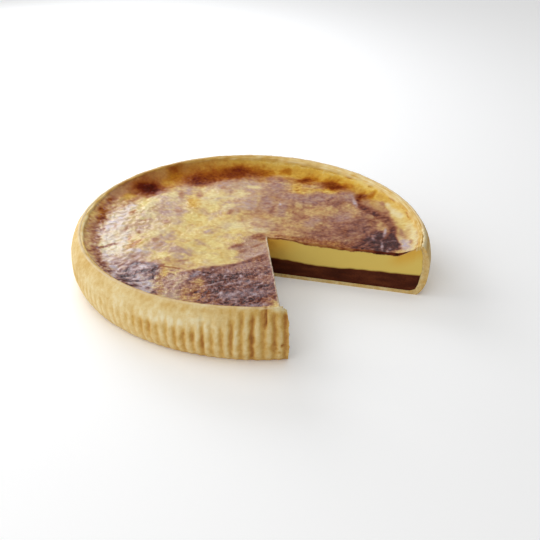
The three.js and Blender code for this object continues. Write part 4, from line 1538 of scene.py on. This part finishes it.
# The crust's inner edge, and painted shade in the crevice between it and the skin
angle_there = angle_round(x, y)
beside_crust = from_edge(x, y)[0] - crust_ring(x, y)
crevice_shade = np.clip(0.15 + 1.2 * bumps(vanilla_points, 9, 92), 0, 0.6) * hump(beside_crust, 0.4, 0.5)
crevice_shade *= 1 - smoothstep(angle_there, 70, 100)
browning = blend(browning, 0.66, crevice_shade)
caramel = blend(caramel, 0.7, crevice_shade)
crusty = in_crust_ring(x, y) * (on_top | (below_skin < 3))
# The crust's inner edge is toasted, less on the left, where painted light offsets the rim's shadow
rim_angles, _, rim_toasts_and_light = zip(*CRUST_EDGE)
crust_toast_and_light = np.interp(angle_there, rim_angles, rim_toasts_and_light) + 0.3 * rim_streaks(x, y)
crust_toast_and_light += 0.15 * bumps(vanilla_points, 5, 93)

# The skin's shine and coarse places, the chocolate's stain and the amber end of the cuts, and warm painted
# shade on the cuts near their tip
before_fold = smoothstep(-front_fold(x, y), 0, 9)
shiny = 0.2 + 0.2 * smoothstep(-x, 75, 95) + 0.08 * before_fold + 0.15 * smoothstep(x, 75, 90)
shiny += 0.15 * smoothstep(-x, 55, 75) * smoothstep(-y, 45, 60)
shiny *= blend(smoothstep(beside_crust, 2, 14), smoothstep(beside_crust, 18, 42), smoothstep(y, 10, 70))
coarse = np.maximum(before_fold, 0.5 * beside_near_cut(x, y))
from_tip = np.linalg.norm(flat - CUT_TIP, axis=1)
# Warm painted shade on the cuts near their tip, and the amber of the custard by the wall at the far cut's
# end
tip_shade_and_amber_end = 0.75 * (1 - smoothstep(from_tip, 4, 30)) * (1 - 0.5 * smoothstep(below_skin, 4, 14))
tip_shade_and_amber_end += 0.7 * smoothstep(x + 0.4 * below_skin, 99, 112) * (1 - smoothstep(below_skin, 3, 15))
note(vanilla_layer, "browning", browning)
note(vanilla_layer, "caramel", caramel)
note(vanilla_layer, "painted_sheen", painted_sheen * (1 - in_skin))
note(vanilla_layer, "inside", inside)
note(vanilla_layer, "crusty", crusty)
note(vanilla_layer, "crust_toast_and_light", crust_toast_and_light)
note(vanilla_layer, "shiny", shiny * on_top)
note(vanilla_layer, "coarse", coarse * on_top)
note(vanilla_layer, "stain", 1 - smoothstep(z - chocolate_height(x, y), 0.1, 1.4))
note(vanilla_layer, "tip_shade_and_amber_end", np.clip(tip_shade_and_amber_end, 0, 1))

SKIN_COLORS = (
    (0, (234, 219, 158)),
    (0.2, (218, 192, 134)),
    (0.4, (189, 146, 104)),
    (0.6, (155, 101, 72)),
    (0.75, (120, 66, 46)),
    (0.88, (84, 42, 33)),
    (1, (42, 19, 16)),
)
CARAMEL_COLORS = (
    (0, (230, 204, 124)),
    (0.2, (213, 167, 60)),
    (0.4, (182, 120, 24)),
    (0.6, (148, 77, 16)),
    (0.8, (98, 29, 8)),
    (1, (36, 9, 6)),
)
# Painted sheen: a lilac-white tint that stands in for reflections on the glossy skin
PAINTED_SHEEN_COLOR = (194, 179, 188)
CUSTARD_COLOR = (227, 198, 104)
AMBER_CUT_COLOR = (224, 168, 62)
STAINED_COLOR = (140, 92, 46)

baked, tree, shader = new_finish("baked_vanilla_custard")
fleck = math_node(tree, "SUBTRACT", grain(tree, 2, detail=4), 0.5)
fleck_strength = math_node(tree, "MULTIPLY_ADD", read(tree, "coarse"), 0.6, 0.2)
brown_there = math_node(tree, "MULTIPLY_ADD", fleck, fleck_strength, read(tree, "browning"))
scales = [color_scale(tree, brown_there, colors) for colors in (SKIN_COLORS, CARAMEL_COLORS)]
top_color = mix(tree, read(tree, "caramel"), *scales)
# Painted sheen laid over the skin's colour
top_color = mix(tree, read(tree, "painted_sheen"), top_color, screen_color(*PAINTED_SHEEN_COLOR))
cut_color = mix(tree, read(tree, "tip_shade_and_amber_end"), screen_color(*CUSTARD_COLOR), screen_color(*AMBER_CUT_COLOR))
cut_color = mix(tree, read(tree, "stain"), cut_color, screen_color(*STAINED_COLOR))
inside_there = read(tree, "inside")
crusty_there = read(tree, "crusty")
color = mix(tree, inside_there, top_color, cut_color)
color = mix(tree, crusty_there, color, color_scale(tree, read(tree, "crust_toast_and_light"), PASTRY_COLORS))
crinkle = math_node(tree, "MULTIPLY_ADD", grain(tree, 2, detail=0), 0.4, grain(tree, 4, detail=0))
small_folds = math_node(tree, "MULTIPLY", grain(tree, 1.3, detail=1), read(tree, "coarse"))
crinkle = math_node(tree, "MULTIPLY_ADD", small_folds, 2.6, crinkle)
outside_part = math_node(tree, "MULTIPLY_ADD", inside_there, -0.8, 1)
crinkled = bumpy(tree, math_node(tree, "MULTIPLY", crinkle, outside_part), strength=0.7, distance=0.4)
gloss = math_node(tree, "MULTIPLY_ADD", grain(tree, 4, detail=2), 0.16, 0.26)
dull_parts = math_node(tree, "MAXIMUM", inside_there, crusty_there)
connect(tree, shader, {
    "Base Color": color,
    "Normal": crinkled,
    "Roughness": math_node(tree, "MULTIPLY_ADD", dull_parts, 0.25, gloss),
    "Specular IOR Level": 0.01,
    "Coat Weight": read(tree, "shiny"),
    "Coat Roughness": 0.28,
    "Coat Normal": crinkled,
})
vanilla_layer.data.materials.append(baked)
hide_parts("vanilla_custard")
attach(vanilla_layer, "root")
